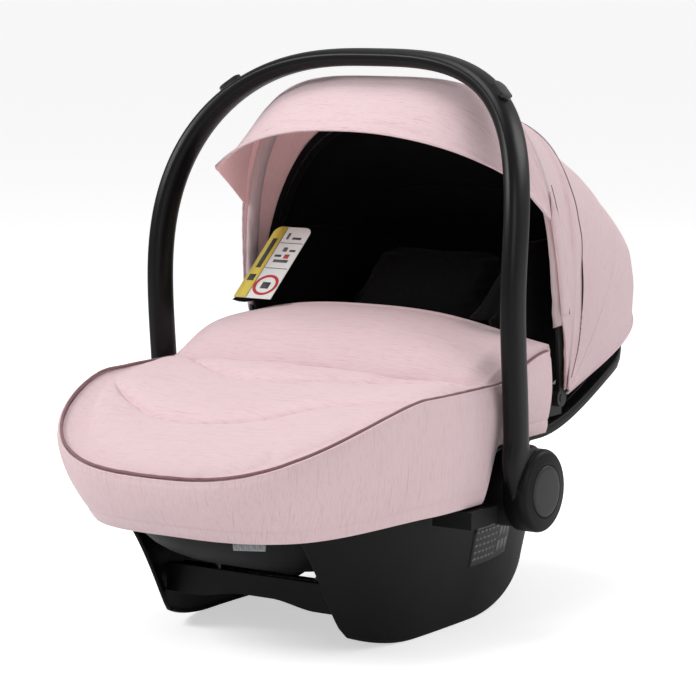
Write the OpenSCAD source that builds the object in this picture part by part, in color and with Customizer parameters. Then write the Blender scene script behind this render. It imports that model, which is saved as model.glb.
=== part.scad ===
// Infant car seat: a rocking shell with a swinging handle, a folding canopy, a harness and a foot cover.
// The origin is on the floor at the middle of the overall length. +Z is up and -Y is the foot end.

/* [Overall] */
// Distance from the origin to the foot tip, and to the head end
half_len = 340; // [280:1:420]
// Half width of the shell over its rim lip
rim_half_w = 185; // [150:1:225]
// Height of the handle's pivots above the floor
hub_z = 145; // [135:1:175]
// Height of the middle of the handle's grip above the floor
grip_z = 561; // [540:1:680]

/* [Shell] */
// Wall of the moulded shell
shell_wall = 3.5; // [2.5:0.1:5]
// Height of the rim between the pivots and the foot end
rim_z = 196; // [175:1:225]
// Height of the rim at the foot tip
rim_foot_z = 172; // [150:1:200]
// Height of the rim at its rear shoulders
rim_rear_z = 244; // [215:1:260]
// Height of the rim at the head end
rim_head_z = 282; // [262:1:300]
// Depth of the rim lip
lip_h = 10; // [7:1:20]
// How far the rim lip stands out from the wall
lip_out = 8; // [4:0.5:12]
// Width of the rim's top face
rim_face = 14; // [10:1:20]
// Gap between the shell's rim and the covers' sides
cover_gap = 7.5; // [4:0.5:12]

/* [Rocker base] */
// Half width of the base at the floor
base_floor_half_w = 126; // [105:1:150]
// Half width of the base at its top
base_top_half_w = 150; // [120:1:165]
// Front of the base at its top
base_front = 307; // [250:1:320]
// Rear of the base at its top
base_rear = 225; // [180:1:250]
// How much shorter the front is at the floor
base_front_slope = 62; // [40:1:90]
// How much shorter the rear is at the floor
base_rear_slope = 10; // [0:1:60]
// Height of the base wall's top edge
base_top_z = 138; // [120:1:150]
// Radius of the rocker at each end
rocker_r = 250; // [200:1:400]
// Front end of the flat that the seat rests on
flat_front = 80; // [60:1:110]
// Rear end of the flat that the seat rests on
flat_rear = 24; // [5:1:50]
// Wall of the base
base_wall = 4; // [3:0.1:6]
// Distance of the cross wall behind the base's front edge
cross_wall_y = 168; // [140:1:185]

/* [Pivots] */
// Radius of the round hub covers
hub_r = 41; // [34:1:49]
// Thickness of the hub covers
hub_t = 25.5; // [20:0.5:32]
// Gap between the pivot boss and the hub cover
hub_gap = 1.5; // [0.5:0.1:3]
// Radius of the pivot boss on the shell
boss_r = 38; // [30:1:45]
// Radius of the pivot bolt
bolt_r = 6; // [4:0.1:8]
// Radial clearance of a running fit
fit_gap = 0.1; // [0.05:0.01:0.1]
// Radius of the round badge
badge_r = 25.6; // [20:0.1:30]
// Gap all round a piece that moves beside another
slide_gap = 0.4; // [0.3:0.1:0.8]
// Travel of the lock slider
lock_travel = 6; // [4:0.5:8]
// Turn of the handle to its last notch
handle_turn = 100; // [80:5:105]

/* [Handle] */
// Half depth of the handle's section
handle_half_depth = 17; // [14:0.5:21]
// Half thickness of the handle's section
handle_half_t = 9; // [7:0.5:12]
// Wall of the handle's two halves
handle_wall = 2.6; // [2:0.1:3.5]
// Gap between the covers and the handle's legs
handle_gap = 8; // [6:0.5:14]
// Height at which the handle is widest
wide_z = 337; // [300:1:380]
// Squareness of the handle's arch
handle_n = 2.9; // [2.4:0.05:3.4]
// Height at which the legs stand furthest forward
bow_z = 331; // [300:1:370]
// How far the legs stand forward there
bow_y = 41.5; // [30:0.5:50]
// How far the grip's middle stands behind the pivots
grip_y = 43; // [20:1:60]
// Place of the release buttons along the arch, in degrees from level
button_at = 50; // [46:1:56]
// Length of a release button
button_l = 26; // [20:1:32]
// Width of a release button
button_w = 15; // [10:1:18]
// Travel of a release button
button_travel = 4; // [2:0.5:5]

/* [Canopy] */
// Distance of the canopy's hinges behind the handle's pivots
fold_y = 95; // [80:1:120]
// Height of the canopy's hinges
fold_z = 222; // [212:1:240]
// Thickness of the covers' fabric
fabric_t = 2.5; // [1.5:0.1:4]
// Reach of the front bow's arch from the hinges
front_reach = 321; // [260:1:330]
// Least reach of the canopy, behind the mid bow
rear_reach = 262; // [220:1:300]
// How much further the canopy reaches at its rounded rear than there
rear_bulge = 14; // [0:1:24]
// How much the canopy tucks in from there to its rear hem
rear_tuck = 28; // [10:1:60]
// Lean of the front bow from upright, towards the foot end
front_angle = -6.3; // [-10:0.1:0]
// Lean of the mid bow from upright
mid_angle = 10.2; // [8:0.1:20]
// Lean of the rear hem from upright
hem_angle = 73.5; // [68:0.1:76]
// Width of the bows' flat strip
bow_w = 9; // [6:0.5:12]
// Forward reach of the visor's edge past the pivots, at its middle
visor_front = 25; // [10:1:40]
// Height of the visor's edge at its middle
visor_z = 490; // [450:1:500]
// Height of the visor's two tips
visor_tip_z = 446; // [420:1:460]

/* [Seat] */
// Thickness of the foam liner
foam_t = 19; // [12:1:25]
// Thickness of the seat's fabric cover
liner_t = 7; // [4:0.5:10]
// Gap between the seat's layers
layer_gap = 2; // [1:0.1:3]
// Half width inside the headrest
headrest_half_w = 132; // [110:1:136]
// Thickness of the headrest's wings
wing_t = 24; // [18:1:28]
// Height of the headrest's wings above the rim
wing_top_z = 376; // [340:1:385]

/* [Harness] */
// Width of the harness webbing
strap_w = 38; // [30:1:42]
// Thickness of the harness webbing
strap_t = 1.6; // [1:0.1:2.5]
// Distance of each shoulder strap from the middle
strap_x = 42; // [36:1:50]
// Height of the seat's surface at the buckle, less the foam's thickness
buckle_rise = 127; // [121:1:141]
// Distance of the buckle in front of the pivots
buckle_y = 62; // [50:1:75]
// Travel of the buckle's button
press = 3; // [2:0.5:4]

/* [Foot cover] */
// Height of the foot cover's seam at the foot tip
seam_foot_z = 187; // [180:1:205]
// Height of the foot cover's seam along the sides
seam_side_z = 252; // [235:1:262]
// Height of the foot cover's seam at its rear corners
seam_rear_z = 274; // [260:1:290]
// Rear end of the foot cover
cover_rear = 60; // [40:1:64]
// Height of the skirt's lower edge at the foot tip
hem_foot_z = 127; // [115:1:140]
// Height of the middle of the chest flap's top edge
flap_z = 309; // [290:1:325]
// Place of the fold between the top panel and the chest flap, in front of the pivots
crease_y = 62; // [40:1:80]
// Height of the fold between the top panel and the chest flap
crease_z = 252; // [240:1:262]

/* [Fasteners] */
// Radius of the base screws
screw_r = 2.5; // [2:0.1:3]
// Radius of the base screws' heads
screw_head_r = 5; // [4:0.1:6]
// Radius of the steel latch bars
bar_r = 5; // [4:0.5:6]

/* [Hidden] */
buckle_z = buckle_rise + foam_t;

PLASTIC = [0.11, 0.11, 0.11];
BLACK_CLOTH = [0.07, 0.07, 0.08];
PINK = [0.93, 0.80, 0.82];
STEEL = [0.7, 0.71, 0.73];
WEBBING = [0.45, 0.46, 0.48];

// Places worked out from the sizes above, from the middle outwards
cover_half_w = rim_half_w + cover_gap + fabric_t;
hub_in = cover_half_w + handle_gap - 1.5;
hub_out = hub_in + hub_t;
boss_out = hub_in - hub_gap;
leg_x = cover_half_w + handle_gap + handle_half_t;
wall_half_w = rim_half_w - lip_out;
foot_end = half_len - 2 * cover_gap;
head_end = half_len - 1;
neck_z = hub_z + hub_r + 4;

// Signed power, for rounded squares
function spow(v, p) = sign(v) * pow(abs(v), p);
// Point at angle u on a rounded rectangle with half sizes a and b
function oval(a, b, n, u) =
    let (r = 1 / pow(pow(abs(cos(u)) / a, n) + pow(abs(sin(u)) / b, n), 1 / n)) [r * cos(u), r * sin(u)];
function bezier(a, b, c, d, t) =
    a * pow(1 - t, 3) + b * 3 * t * pow(1 - t, 2) + c * 3 * t * t * (1 - t) + d * pow(t, 3);
function lerp(a, b, t) = a + (b - a) * t;
function clamp(v, lo, hi) = max(lo, min(hi, v));
// Smooth step from 0 at a to 1 at b
function ease(a, b, v) = let (t = clamp((v - a) / (b - a), 0, 1)) t * t * (3 - 2 * t);
function unit(v) = v / norm(v);
function mid(ring) = [for (k = [0 : 2]) [for (p = ring) p[k]] * [for (p = ring) 1] / len(ring)];

// Closed solid through a list of matching rings
module skin(rings) {
    n = len(rings[0]);
    m = len(rings);
    points = concat([for (r = rings) each r], [mid(rings[0]), mid(rings[m - 1])]);
    sides = [for (i = [0 : m - 2], j = [0 : n - 1]) let (k = (j + 1) % n) each [
        [i * n + j, (i + 1) * n + j, (i + 1) * n + k],
        [i * n + j, (i + 1) * n + k, i * n + k]]];
    ends = [for (j = [0 : n - 1]) let (k = (j + 1) % n) each [
        [m * n, j, k], [m * n + 1, (m - 1) * n + k, (m - 1) * n + j]]];
    polyhedron(points, concat(sides, ends));
}

// Closed solid between two matching point grids; loop joins the last row to the first
module between(a, b, loop = false) {
    m = len(a);
    n = len(a[0]);
    last = loop ? m - 1 : m - 2;
    points = concat([for (r = a) each r], [for (r = b) each r]);
    faces = [for (i = [0 : last]) let (o = m * n, p = i * n, q = ((i + 1) % m) * n) each concat(
        [for (j = [0 : n - 2]) each [
            [p + j, q + j, q + j + 1], [p + j, q + j + 1, p + j + 1],
            [o + p + j, o + q + j + 1, o + q + j], [o + p + j, o + p + j + 1, o + q + j + 1]]],
        [[p, o + p, o + q], [p, o + q, q],
         [p + n - 1, o + q + n - 1, o + p + n - 1], [p + n - 1, q + n - 1, o + q + n - 1]])];
    ends = loop ? [] : [for (j = [0 : n - 2]) let (o = m * n, e = (m - 1) * n) each [
        [j, j + 1, o + j + 1], [j, o + j + 1, o + j],
        [e + j, o + e + j + 1, e + j + 1], [e + j, o + e + j, o + e + j + 1]]];
    polyhedron(points, concat(faces, ends));
}

// Sections along a path: a points along ref, b across it
function tangent(path, i) = unit(path[min(i + 1, len(path) - 1)] - path[max(i - 1, 0)]);
function sections(path, shape, ref) = [for (i = [0 : len(path) - 1])
    let (t = tangent(path, i), a = unit(ref - t * (t * ref)), b = cross(t, a))
    [for (s = shape) path[i] + a * s[0] + b * s[1]]];
function disc(r, n) = [for (k = [0 : n - 1]) r * [cos(360 * k / n), sin(360 * k / n)]];
function box_section(w, t) = [[w / 2, t / 2], [-w / 2, t / 2], [-w / 2, -t / 2], [w / 2, -t / 2]];
// Evenly spaced points on straight runs between the given ones, rounded by averaging
function smooth_path(p, n) = [for (i = [0 : n]) let (
    t = i / n * (len(p) - 1), k = min(floor(t), len(p) - 2), f = t - k,
    a = p[max(k - 1, 0)], b = p[k], c = p[k + 1], d = p[min(k + 2, len(p) - 1)])
    0.5 * (2 * b + (c - a) * f + (2 * a - 5 * b + 4 * c - d) * f * f + (3 * b - a - 3 * c + d) * f * f * f)];

// Round pieces that lie along X
module x_disc(x0, x1, r) {
    translate([x0, 0, 0]) rotate([0, 90, 0]) cylinder(h = x1 - x0, r = r, $fn = 96);
}
module x_ring(x0, x1, r_in, r_out) {
    difference() {
        x_disc(x0, x1, r_out);
        x_disc(x0 - 1, x1 + 1, r_in);
    }
}
// Places children at the handle's pivots, mirrored for the left side
module side(s) {
    mirror([s < 0 ? 1 : 0, 0, 0]) children();
}
module at_hub() {
    translate([0, 0, hub_z]) children();
}

// ---- Shell ----

// Height of the rim at y
function rim_at(y) = rim_z + (rim_foot_z - rim_z) * ease(150, foot_end, -y)
    + (rim_rear_z - rim_z) * ease(60, 270, y)
    + (rim_head_z - rim_rear_z) * ease(240, head_end, y);
function cup_foot(s) = bezier([-165, 72], [-270, 88], [-290, 130], [lip_out - foot_end, rim_foot_z], s);
function cup_head(s) = bezier([110, 72], [160, 76], [215, 150], [head_end - lip_out, rim_head_z], s);
function cup_half_w(s) = bezier(100, 128, 138, wall_half_w, s);
// Ring of the bucket at depth share s (0 floor, 1 rim), shrunk by off
function cup_ring(s, off, lift = 0, n = 56) = let (f = cup_foot(s), h = cup_head(s), w = cup_half_w(s))
    [for (k = [0 : n - 1]) let (
        u = 360 * k / n, yc = 20, b = sin(u) > 0 ? h[0] - yc - off : yc - f[0] - off,
        p = oval(w - off, b, sin(u) > 0 ? lerp(2.1, 3.8, pow(s, 4)) : 2.9, u), y = p[1] + yc,
        floor_z = min(lerp(f[1], h[1], ease(f[0], h[0], y)), rim_at(y) - 70 * (1 - s)),
        z = lerp(floor_z, rim_at(y), pow(s, 6)) + off * (1 - pow(s, 3)))
        [p[0], y, z + lift]];

depths = [0, 0.12, 0.25, 0.4, 0.55, 0.7, 0.85];
module bucket_shell() {
    color(PLASTIC) skin(concat(
        [for (s = depths) cup_ring(s, 0)],
        [cup_ring(1, 0, -lip_h - 1), cup_ring(1, -lip_out, -lip_h), cup_ring(1, -lip_out, -1.5)],
        [cup_ring(1, 1.5 - lip_out, 0), cup_ring(1, rim_face - lip_out, 0)],
        [for (k = [len(depths) - 1 : -1 : 0]) cup_ring(depths[k], shell_wall)]));
}

// Height of the base wall's lower edge at y: a flat with a rocker curve at each end
function rocker_at(y) = let (d = max(-flat_front - y, y - flat_rear, 0))
    rocker_r - sqrt(max(rocker_r * rocker_r - d * d, 1));
// Point of the base wall at plan angle u and height share t
function base_point(u, t, off) = let (
    a = lerp(base_floor_half_w, base_top_half_w, t) - off,
    b = (sin(u) > 0 ? base_rear + 30 - base_rear_slope * (1 - t)
        : base_front - 30 - base_front_slope * (1 - pow(t, 1.3))) - off,
    p = oval(a, b, sin(u) > 0 ? 3.2 : 2.6, u), y = p[1] - 30)
    [p[0], y, lerp(rocker_at(y), base_top_z, t)];
base_levels = [0, 0.06, 0.2, 0.4, 0.6, 0.8, 1];
// Plan angle of the wall's front ends, which lean forward towards the top
function base_end_angle(t) = 52.6 + 13.5 * pow(t, 0.6);

module rocker_base() {
    n = 60;
    function row(k, off) = [for (t = base_levels)
        let (e = base_end_angle(t)) base_point(lerp(-e, 180 + e, k / n), t, off)];
    color(PLASTIC) difference() {
        between([for (k = [0 : n]) row(k, base_wall)], [for (k = [0 : n]) row(k, 0)]);
        skin(concat([for (s = depths) cup_ring(s, -0.05)], [cup_ring(1, -0.05, -lip_h - 1)]));
    }
}

// Lower edge of the cross walls: an arch in the middle, S-curved down to the skids
function cross_edge(x, low, high) = lerp(high, low, ease(18, 70, abs(x)));
module cross_wall(y, low, high, half_w, t) {
    xs = [for (k = [-16 : 16]) k / 16 * half_w];
    edge = [for (x = xs) [x, cross_edge(x, low, high)]];
    translate([0, y + t / 2, 0]) rotate([90, 0, 0])
        linear_extrude(t) polygon(concat(edge, [[half_w, 66], [-half_w, 66]]));
}
module front_cross_wall() {
    color(PLASTIC) cross_wall(-cross_wall_y, 37, 44, base_floor_half_w - 17.5, 4);
}
module rear_cross_wall() {
    color(PLASTIC) cross_wall(cross_wall_y - 40, 34, 44, base_floor_half_w - 14, 4);
}
screw_places = [for (x = [-60, 60], y = [-cross_wall_y + 18, cross_wall_y - 58]) [x, y]];
module base_screws() {
    color(STEEL) for (p = screw_places) translate([p[0], p[1], 0]) {
        translate([0, 0, 52]) cylinder(h = 3, r = screw_head_r, $fn = 32);
        translate([0, 0, 55]) cylinder(h = 12, r = screw_r, $fn = 32);
    }
}

// ---- Pivots ----

module pivot_boss() {
    color(PLASTIC) at_hub() x_ring(wall_half_w + 1, boss_out, bolt_r + 0.05, boss_r);
}
module ratchet_ring() {
    color(STEEL) at_hub() difference() {
        x_ring(boss_out, hub_in + 8, bolt_r + 3, ring_r);
        for (turn = [0, handle_turn / 2, handle_turn]) rotate([36 - turn, 0, 0])
            translate([hub_in - 5, -4.4, 24]) cube([20, 8.8, 12]);
    }
}
module pivot_bolt() {
    color(STEEL) at_hub() {
        x_disc(wall_half_w + 2, hub_out - 4, bolt_r);
        x_disc(hub_out - 5, hub_out - 2.5, bolt_r + 3);
    }
}
// Side outline of the neck between the hub and the leg, from the pivot's centre
leg_foot_y = -bow_y + 8;
module neck_outline() {
    polygon([[-hub_r * 0.98, 8], [leg_foot_y - handle_half_depth, neck_z - hub_z],
        [leg_foot_y + handle_half_depth, neck_z - hub_z], [hub_r * 0.4, hub_r * 0.85], [0, 0]]);
}
module hub_cover() {
    color(PLASTIC) at_hub() difference() {
        union() {
            rotate([0, 90, 0]) rotate_extrude($fn = 96) polygon(concat([[0, hub_in], [hub_r, hub_in]],
                [for (a = [0 : 15 : 90]) [hub_r - 6 + 6 * cos(a), hub_out - 6 + 6 * sin(a)]],
                [[0, hub_out]]));
            translate([leg_x - handle_half_t, 0, 0]) rotate([90, 0, 90])
                linear_extrude(2 * handle_half_t) neck_outline();
        }
        x_disc(hub_in - 1, hub_out + 1, bolt_r + fit_gap);
        x_disc(hub_in - 1, hub_in + 9, 33);
        x_disc(hub_out - 5 - slide_gap, hub_out + 1, bolt_r + 3 + slide_gap);
        x_disc(hub_out - 2, hub_out + 1, badge_r + slide_gap);
        rotate([36, 0, 0]) translate([hub_in - 1, -4 - slide_gap, 0])
            cube([10, 8 + 2 * slide_gap, slot_end]);
    }
}
module hub_badge() {
    color([0.24, 0.24, 0.25]) at_hub() rotate([0, 90, 0]) rotate_extrude($fn = 96)
        polygon([[0, hub_out - 2], [badge_r, hub_out - 2], [badge_r, hub_out],
            [badge_r - 1.5, hub_out + 1.2], [0, hub_out + 1.6]]);
}
// The sliders stand just clear of the notched rings, over the notch of the upright handle
ring_r = 30;
slider_h = 11;
slot_end = ring_r + slide_gap + slider_h + lock_travel + 2.6;
module lock_slider() {
    color(STEEL) at_hub() rotate([36, 0, 0]) translate([hub_in + 0.6, -4, ring_r + slide_gap])
        cube([7.4, 8, slider_h]);
}
module lock_spring() {
    turns = 4;
    foot = ring_r + slide_gap + slider_h + 0.7;
    coil = [for (k = [0 : turns * 8]) let (a = k * 45)
        [2.6 * cos(a), 2.6 * sin(a), lerp(foot, slot_end - 0.7, k / (turns * 8))]];
    color(STEEL) at_hub() rotate([36, 0, 0]) translate([hub_in + 4.3, 0, 0])
        skin(sections(coil, disc(0.45, 6), [0, 0, 1]));
}
// Adapter block: a socket below the skirt's edge, with a neck up behind it
adapter_x = rim_half_w - 29;
adapter_y = -96;
adapter_z = 119;
neck_x = rim_half_w - 20;
module adapter_socket() {
    skirt_in_x = cover_half_w - tuck_side - skirt_in - 1;
    color(PLASTIC) difference() {
        union() {
            translate([adapter_x, adapter_y, adapter_z])
                cube([boss_out - adapter_x, 48, hem_foot_z + 9 - adapter_z]);
            translate([neck_x, adapter_y, adapter_z]) cube([skirt_in_x - neck_x, 48, 53]);
        }
        translate([neck_x + 3, adapter_y + 9, adapter_z - 1]) cube([skirt_in_x - neck_x - 6, 30, 44]);
    }
}

// ---- Handle ----

// Forward or rearward place of the handle at height z
function handle_y(z) = z < bow_z
    ? lerp(leg_foot_y, -bow_y, ease(neck_z, bow_z, z))
    : -bow_y + (grip_y + bow_y) * pow((z - bow_z) / (grip_z - bow_z), 2);
function handle_arch(u) = let (p = oval(leg_x, grip_z - wide_z, handle_n, u), z = wide_z + p[1])
    [p[0], handle_y(z), z];
handle_path = concat(
    [for (k = [0 : 5]) let (z = lerp(neck_z + 1, wide_z - 24, k / 5)) [leg_x, handle_y(z), z]],
    [for (u = [0 : 3.75 : 180]) handle_arch(u)],
    [for (k = [5 : -1 : 0]) let (z = lerp(neck_z + 1, wide_z - 24, k / 5)) [-leg_x, handle_y(z), z]]);
function half_oval(a, b, s) = [for (k = [0 : 6]) [-a * cos(30 * k), s * b * sin(30 * k)]];
module handle_half(s) {
    split = 0.15;
    outer = [for (p = half_oval(handle_half_depth, handle_half_t, s)) p + [0, s * split]];
    inner = [for (p = half_oval(handle_half_depth - handle_wall, handle_half_t - handle_wall, s))
        p + [0, s * split]];
    fore = [0, 1, 0];
    if (s > 0)
        between(sections(handle_path, inner, fore), sections(handle_path, outer, fore));
    else
        between(sections(handle_path, outer, fore), sections(handle_path, inner, fore));
}
// Places children on the handle's outer face at the right-hand button, +Z outwards
module at_button() {
    p = handle_arch(button_at);
    q = handle_arch(button_at + 1);
    t = unit(q - p);
    a = unit([0, 1, 0] - t * t[1]);
    n = cross(a, t);
    multmatrix([[t[0], -a[0], n[0], p[0]], [t[1], -a[1], n[1], p[1]], [t[2], -a[2], n[2], p[2]]])
        children();
}
module pill(l, w, h) {
    linear_extrude(h) {
        square([l - w, w], center = true);
        for (x = [-1, 1]) translate([x * (l - w) / 2, 0]) circle(d = w, $fn = 48);
    }
}
module button_window() {
    for (s = [-1, 1]) side(s) at_button()
        translate([0, 0, 1]) pill(button_l + 2 * slide_gap, button_w + 2 * slide_gap, handle_half_t + 8);
}
module release_button() {
    color([0.16, 0.16, 0.16]) at_button()
        translate([0, 0, button_travel + 0.5]) pill(button_l, button_w, handle_half_t - button_travel + 2.5);
}
module handle_outer() {
    color(PLASTIC) difference() {
        handle_half(-1);
        button_window();
    }
}
module handle_inner() {
    color([0.15, 0.15, 0.15]) handle_half(1);
}

// ---- Canopy ----

// Reach of the canopy's skin from the hinges at lean v, and the squareness of its arch there
function reach(v) = rear_reach
    + (front_reach - rear_reach) * pow(clamp((60 - v) / (60 - front_angle), 0, 1.05), 2.6)
    + rear_bulge * ease(36, 62, v)
    - rear_tuck * pow(clamp((v - 54) / (hem_angle - 54), 0, 1), 1.2);
function arch_n(v) = v < mid_angle
    ? lerp(3.7, 3.45, ease(front_angle, mid_angle, v))
    : lerp(3.45, 4, ease(mid_angle, 50, v));
function arch_half_w(v) = cover_half_w - 4 * ease(50, hem_angle, v);
// Point of the canopy at arch angle u (0 right hinge, 180 left hinge) and lean v, moved in by off
function canopy_point(u, v, off) = let (p = oval(arch_half_w(v) - off, reach(v) - off, arch_n(v), u))
    [p[0], fold_y + p[1] * sin(v), fold_z + p[1] * cos(v)];
arch_steps = 36;
arch_gap = 3;
function arch_row(v, off) = [for (k = [0 : arch_steps])
    canopy_point(lerp(arch_gap, 180 - arch_gap, k / arch_steps), v, off)];
module canopy_strip(v0, v1, rows) {
    leans = [for (k = [0 : rows]) lerp(v0, v1, k / rows)];
    color(PINK) between([for (v = leans) arch_row(v, fabric_t)], [for (v = leans) arch_row(v, 0)]);
}
module canopy_front_panel() {
    canopy_strip(front_angle, mid_angle - 0.3, 3);
}
module canopy_rear_panel() {
    canopy_strip(mid_angle + 0.3, hem_angle, 10);
}
// Share w across the visor: -1 left tip, 1 right tip
function visor_root(w) = canopy_point(90 - w * 46, front_angle - 0.4, 0);
function visor_edge(w) = let (d = pow(abs(w), 2.3))
    [0.943 * cover_half_w * w, lerp(-visor_front, 17, d), lerp(visor_z, visor_tip_z, d)];
function visor_point(w, t, off) = let (
    a = visor_root(w), b = visor_edge(w), bulge = 32 * t * (1 - t) * (1 - pow(abs(w), 6)))
    lerp(a, b, t) + [0, -0.45, 0.89] * bulge - [0.5 * w, -0.3, 0.8] * off;
module visor() {
    ws = [for (k = [-14 : 14]) k / 14];
    ts = [for (k = [0 : 4]) k / 4];
    color(PINK) between([for (w = ws) [for (t = ts) visor_point(w, t, 0)]],
        [for (w = ws) [for (t = ts) visor_point(w, t, fabric_t)]]);
}
// Bow: a flat strip bent to the arch, with an eye at each hinge; eye_x is the eye's inner face
eye_t = 3;
eye_r = 9;
pin_r = 4;
module bow(v, eye_x) {
    off = cover_half_w - eye_x - eye_t / 2;
    arch = [for (k = [0 : 40]) canopy_point(lerp(1.5, 178.5, k / 40), v, off)];
    difference() {
        union() {
            skin(sections(arch, box_section(bow_w, eye_t), [0, -cos(v), sin(v)]));
            for (s = [-1, 1]) side(s) translate([0, fold_y, fold_z])
                x_disc(eye_x, eye_x + eye_t, eye_r);
        }
        for (s = [-1, 1]) side(s) translate([0, fold_y, fold_z])
            x_disc(eye_x - 1, eye_x + eye_t + 1, pin_r + fit_gap);
    }
}
front_eye_x = cover_half_w - fabric_t - eye_t - 2.8;
mid_eye_x = front_eye_x - eye_t - 0.6;
module front_bow() {
    color(PLASTIC) bow(front_angle + 2.5, front_eye_x);
}
module mid_bow() {
    color(PLASTIC) bow(mid_angle, mid_eye_x);
}
module canopy_pivot() {
    plate_x = mid_eye_x - 6;
    color(PLASTIC) translate([0, fold_y, fold_z]) {
        x_disc(plate_x, plate_x + 5, 13);
        x_disc(plate_x + 5, front_eye_x + eye_t + 0.6, pin_r);
        translate([plate_x, -13, rim_at(fold_y) + 4 - fold_z]) cube([5, 26, fold_z - rim_at(fold_y) - 4]);
    }
}

// ---- Seat ----

foam_off = shell_wall + layer_gap + 3;
module lining(off_out, off_in, top) {
    levels = concat([for (k = [0 : 7]) 0.91 * k / 7], [top]);
    skin(concat([for (s = levels) cup_ring(s, off_out, 0, 40)],
        [for (k = [len(levels) - 1 : -1 : 0]) cup_ring(levels[k], off_in, 0, 40)]));
}
module foam_liner() {
    color([0.85, 0.85, 0.84]) lining(foam_off, foam_off + foam_t, 0.93);
}
module seat_liner() {
    off = foam_off + foam_t + 1.6 * layer_gap;
    color(BLACK_CLOTH) lining(off, off + liner_t, 0.96);
}
// Headrest: a U in plan, with wings beside the head whose front edges lean back, and a back behind it
head_rear = 240;
wing_lean = 40.4;
wing_y = 8;
wing_foot_z = 309;
wing_yc = 95;
function wing_rise(y) = min(wing_foot_z + (y - wing_y) * tan(wing_lean), wing_top_z)
    - 24 * ease(150, head_rear + 30, y);
// The wings' lower edge stays above the chest flap, then drops towards the rim behind it
function wing_base(y) = lerp(wing_foot_z - 3, rim_at(y) + 9, ease(cover_rear - 26, cover_rear + 4, y));
module headrest() {
    n = 40;
    reach_a = 38;
    function plan(u, off) = let (a = headrest_half_w + off, lead = (wing_yc - wing_y) / reach_a)
        u < 0 ? [a, wing_yc + u * lead]
        : u > 180 ? [-a, wing_yc - (u - 180) * lead]
        : oval(a, head_rear - wing_yc + off, 3, u) + [0, wing_yc];
    function row(u, off) = let (q = plan(u, off), y = q[1])
        [for (t = [0, 0.5, 1]) [q[0], y, lerp(wing_base(y), wing_rise(y) - 0.16 * off, t)]];
    angles = [for (k = [0 : n]) lerp(-reach_a, 180 + reach_a, k / n)];
    color(BLACK_CLOTH) between([for (u = angles) row(u, 0)], [for (u = angles) row(u, wing_t)]);
}
// Direction of the backrest, from the seat towards the head
back_y = 20;
back_z = 150;
back_tilt = 42;
module on_back(along, above) {
    translate([0, back_y, back_z]) rotate([back_tilt, 0, 0]) translate([0, along, above]) children();
}
module rounded_block(l, w, t, r) {
    hull() for (x = [-1, 1], y = [-1, 1])
        translate([x * (w / 2 - r), y * (l / 2 - r), 0]) cylinder(h = t, r = r, $fn = 32);
}
module head_cushion() {
    color(BLACK_CLOTH) on_back(206, 27) rounded_block(110, 170, 22, 30);
}
module seat_insert() {
    color(BLACK_CLOTH) on_back(66, 4) rounded_block(120, 190, 18, 30);
}

// ---- Harness ----

// Route of a shoulder strap over the backrest, seen from the side, above the seat's surface
shoulder_route = [[130, 104], [113, 113], [80, 95], [40, 67], [-20, 41], [-50, 31]];
function strap_route(inset) = [for (k = [0 : len(shoulder_route) - 1]) let (p = shoulder_route[k])
    [lerp(strap_x, inset, k / (len(shoulder_route) - 1)), p[0], buckle_z + p[1]]];
module shoulder_strap() {
    color([0.12, 0.12, 0.13]) skin(sections(smooth_path(strap_route(17), 20),
        box_section(strap_w * 0.6, strap_t), [1, 0, 0]));
}
module shoulder_pad() {
    path = smooth_path(strap_route(17), 20);
    part = [for (k = [4 : 12]) path[k] + [0, -2.6, 3.4]];
    color(BLACK_CLOTH) skin(sections(part, box_section(strap_w + 8, 5), [1, 0, 0]));
}
module crotch_strap() {
    color([0.12, 0.12, 0.13]) translate([-strap_w / 2, -buckle_y - 8, buckle_z - 36])
        cube([strap_w, strap_t, 22]);
}
module crotch_pad() {
    color(BLACK_CLOTH) translate([0, -buckle_y - 14, buckle_z - 25]) rotate([90, 0, 0])
        rounded_block(22, strap_w + 14, 7, 9);
}
module buckle_at() {
    translate([0, -buckle_y, buckle_z]) rotate([28, 0, 0]) children();
}
module buckle_body() {
    color(PLASTIC) buckle_at() difference() {
        rounded_block(58, 44, 19, 9);
        translate([0, -6, 11]) pill_box(26 + 2 * slide_gap, 22 + 2 * slide_gap, 12);
        for (s = [-1, 1]) translate([s * 10 - 7.5, 12, 6]) cube([15, 30, 5]);
    }
}
module pill_box(w, l, h) {
    translate([-w / 2, -l / 2, 0]) cube([w, l, h]);
}
module buckle_button() {
    color([0.75, 0.12, 0.10]) buckle_at() translate([0, -6, 11 + press + 0.3]) pill_box(26, 22, 19.6 - 11 - press);
}
module buckle_tongue() {
    color(STEEL) buckle_at() translate([3.2, 12.5, 7]) cube([12.6, 32, 3]);
}
module yoke_plate() {
    color(STEEL) translate([0, 178, 96]) rotate([45, 0, 0]) difference() {
        translate([-27, -17, 0]) cube([54, 34, 3]);
        for (y = [-9, 9]) translate([-21, y - 2.5, -1]) cube([42, 5, 5]);
    }
}
adjust_y = -226;
adjust_z = 139.25 + 1.25 * foam_t;
module adjuster_housing() {
    color(PLASTIC) translate([0, adjust_y, adjust_z]) difference() {
        rounded_block(40, 56, 15, 8);
        translate([0, 4, 6]) pill_box(24 + 2 * slide_gap, 20 + 2 * slide_gap, 14);
        translate([-20, -22, 4]) cube([40, 12, 5]);
    }
}
module adjuster_button() {
    color([0.2, 0.2, 0.2]) translate([0, adjust_y + 4, adjust_z + 9.5]) pill_box(24, 20, 7);
}
module latch_bar(y, z) {
    half = base_floor_half_w - 1.5;
    color(STEEL) translate([-half, y, z]) rotate([0, 90, 0])
        cylinder(h = 2 * half, r = bar_r, $fn = 48);
}
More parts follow.
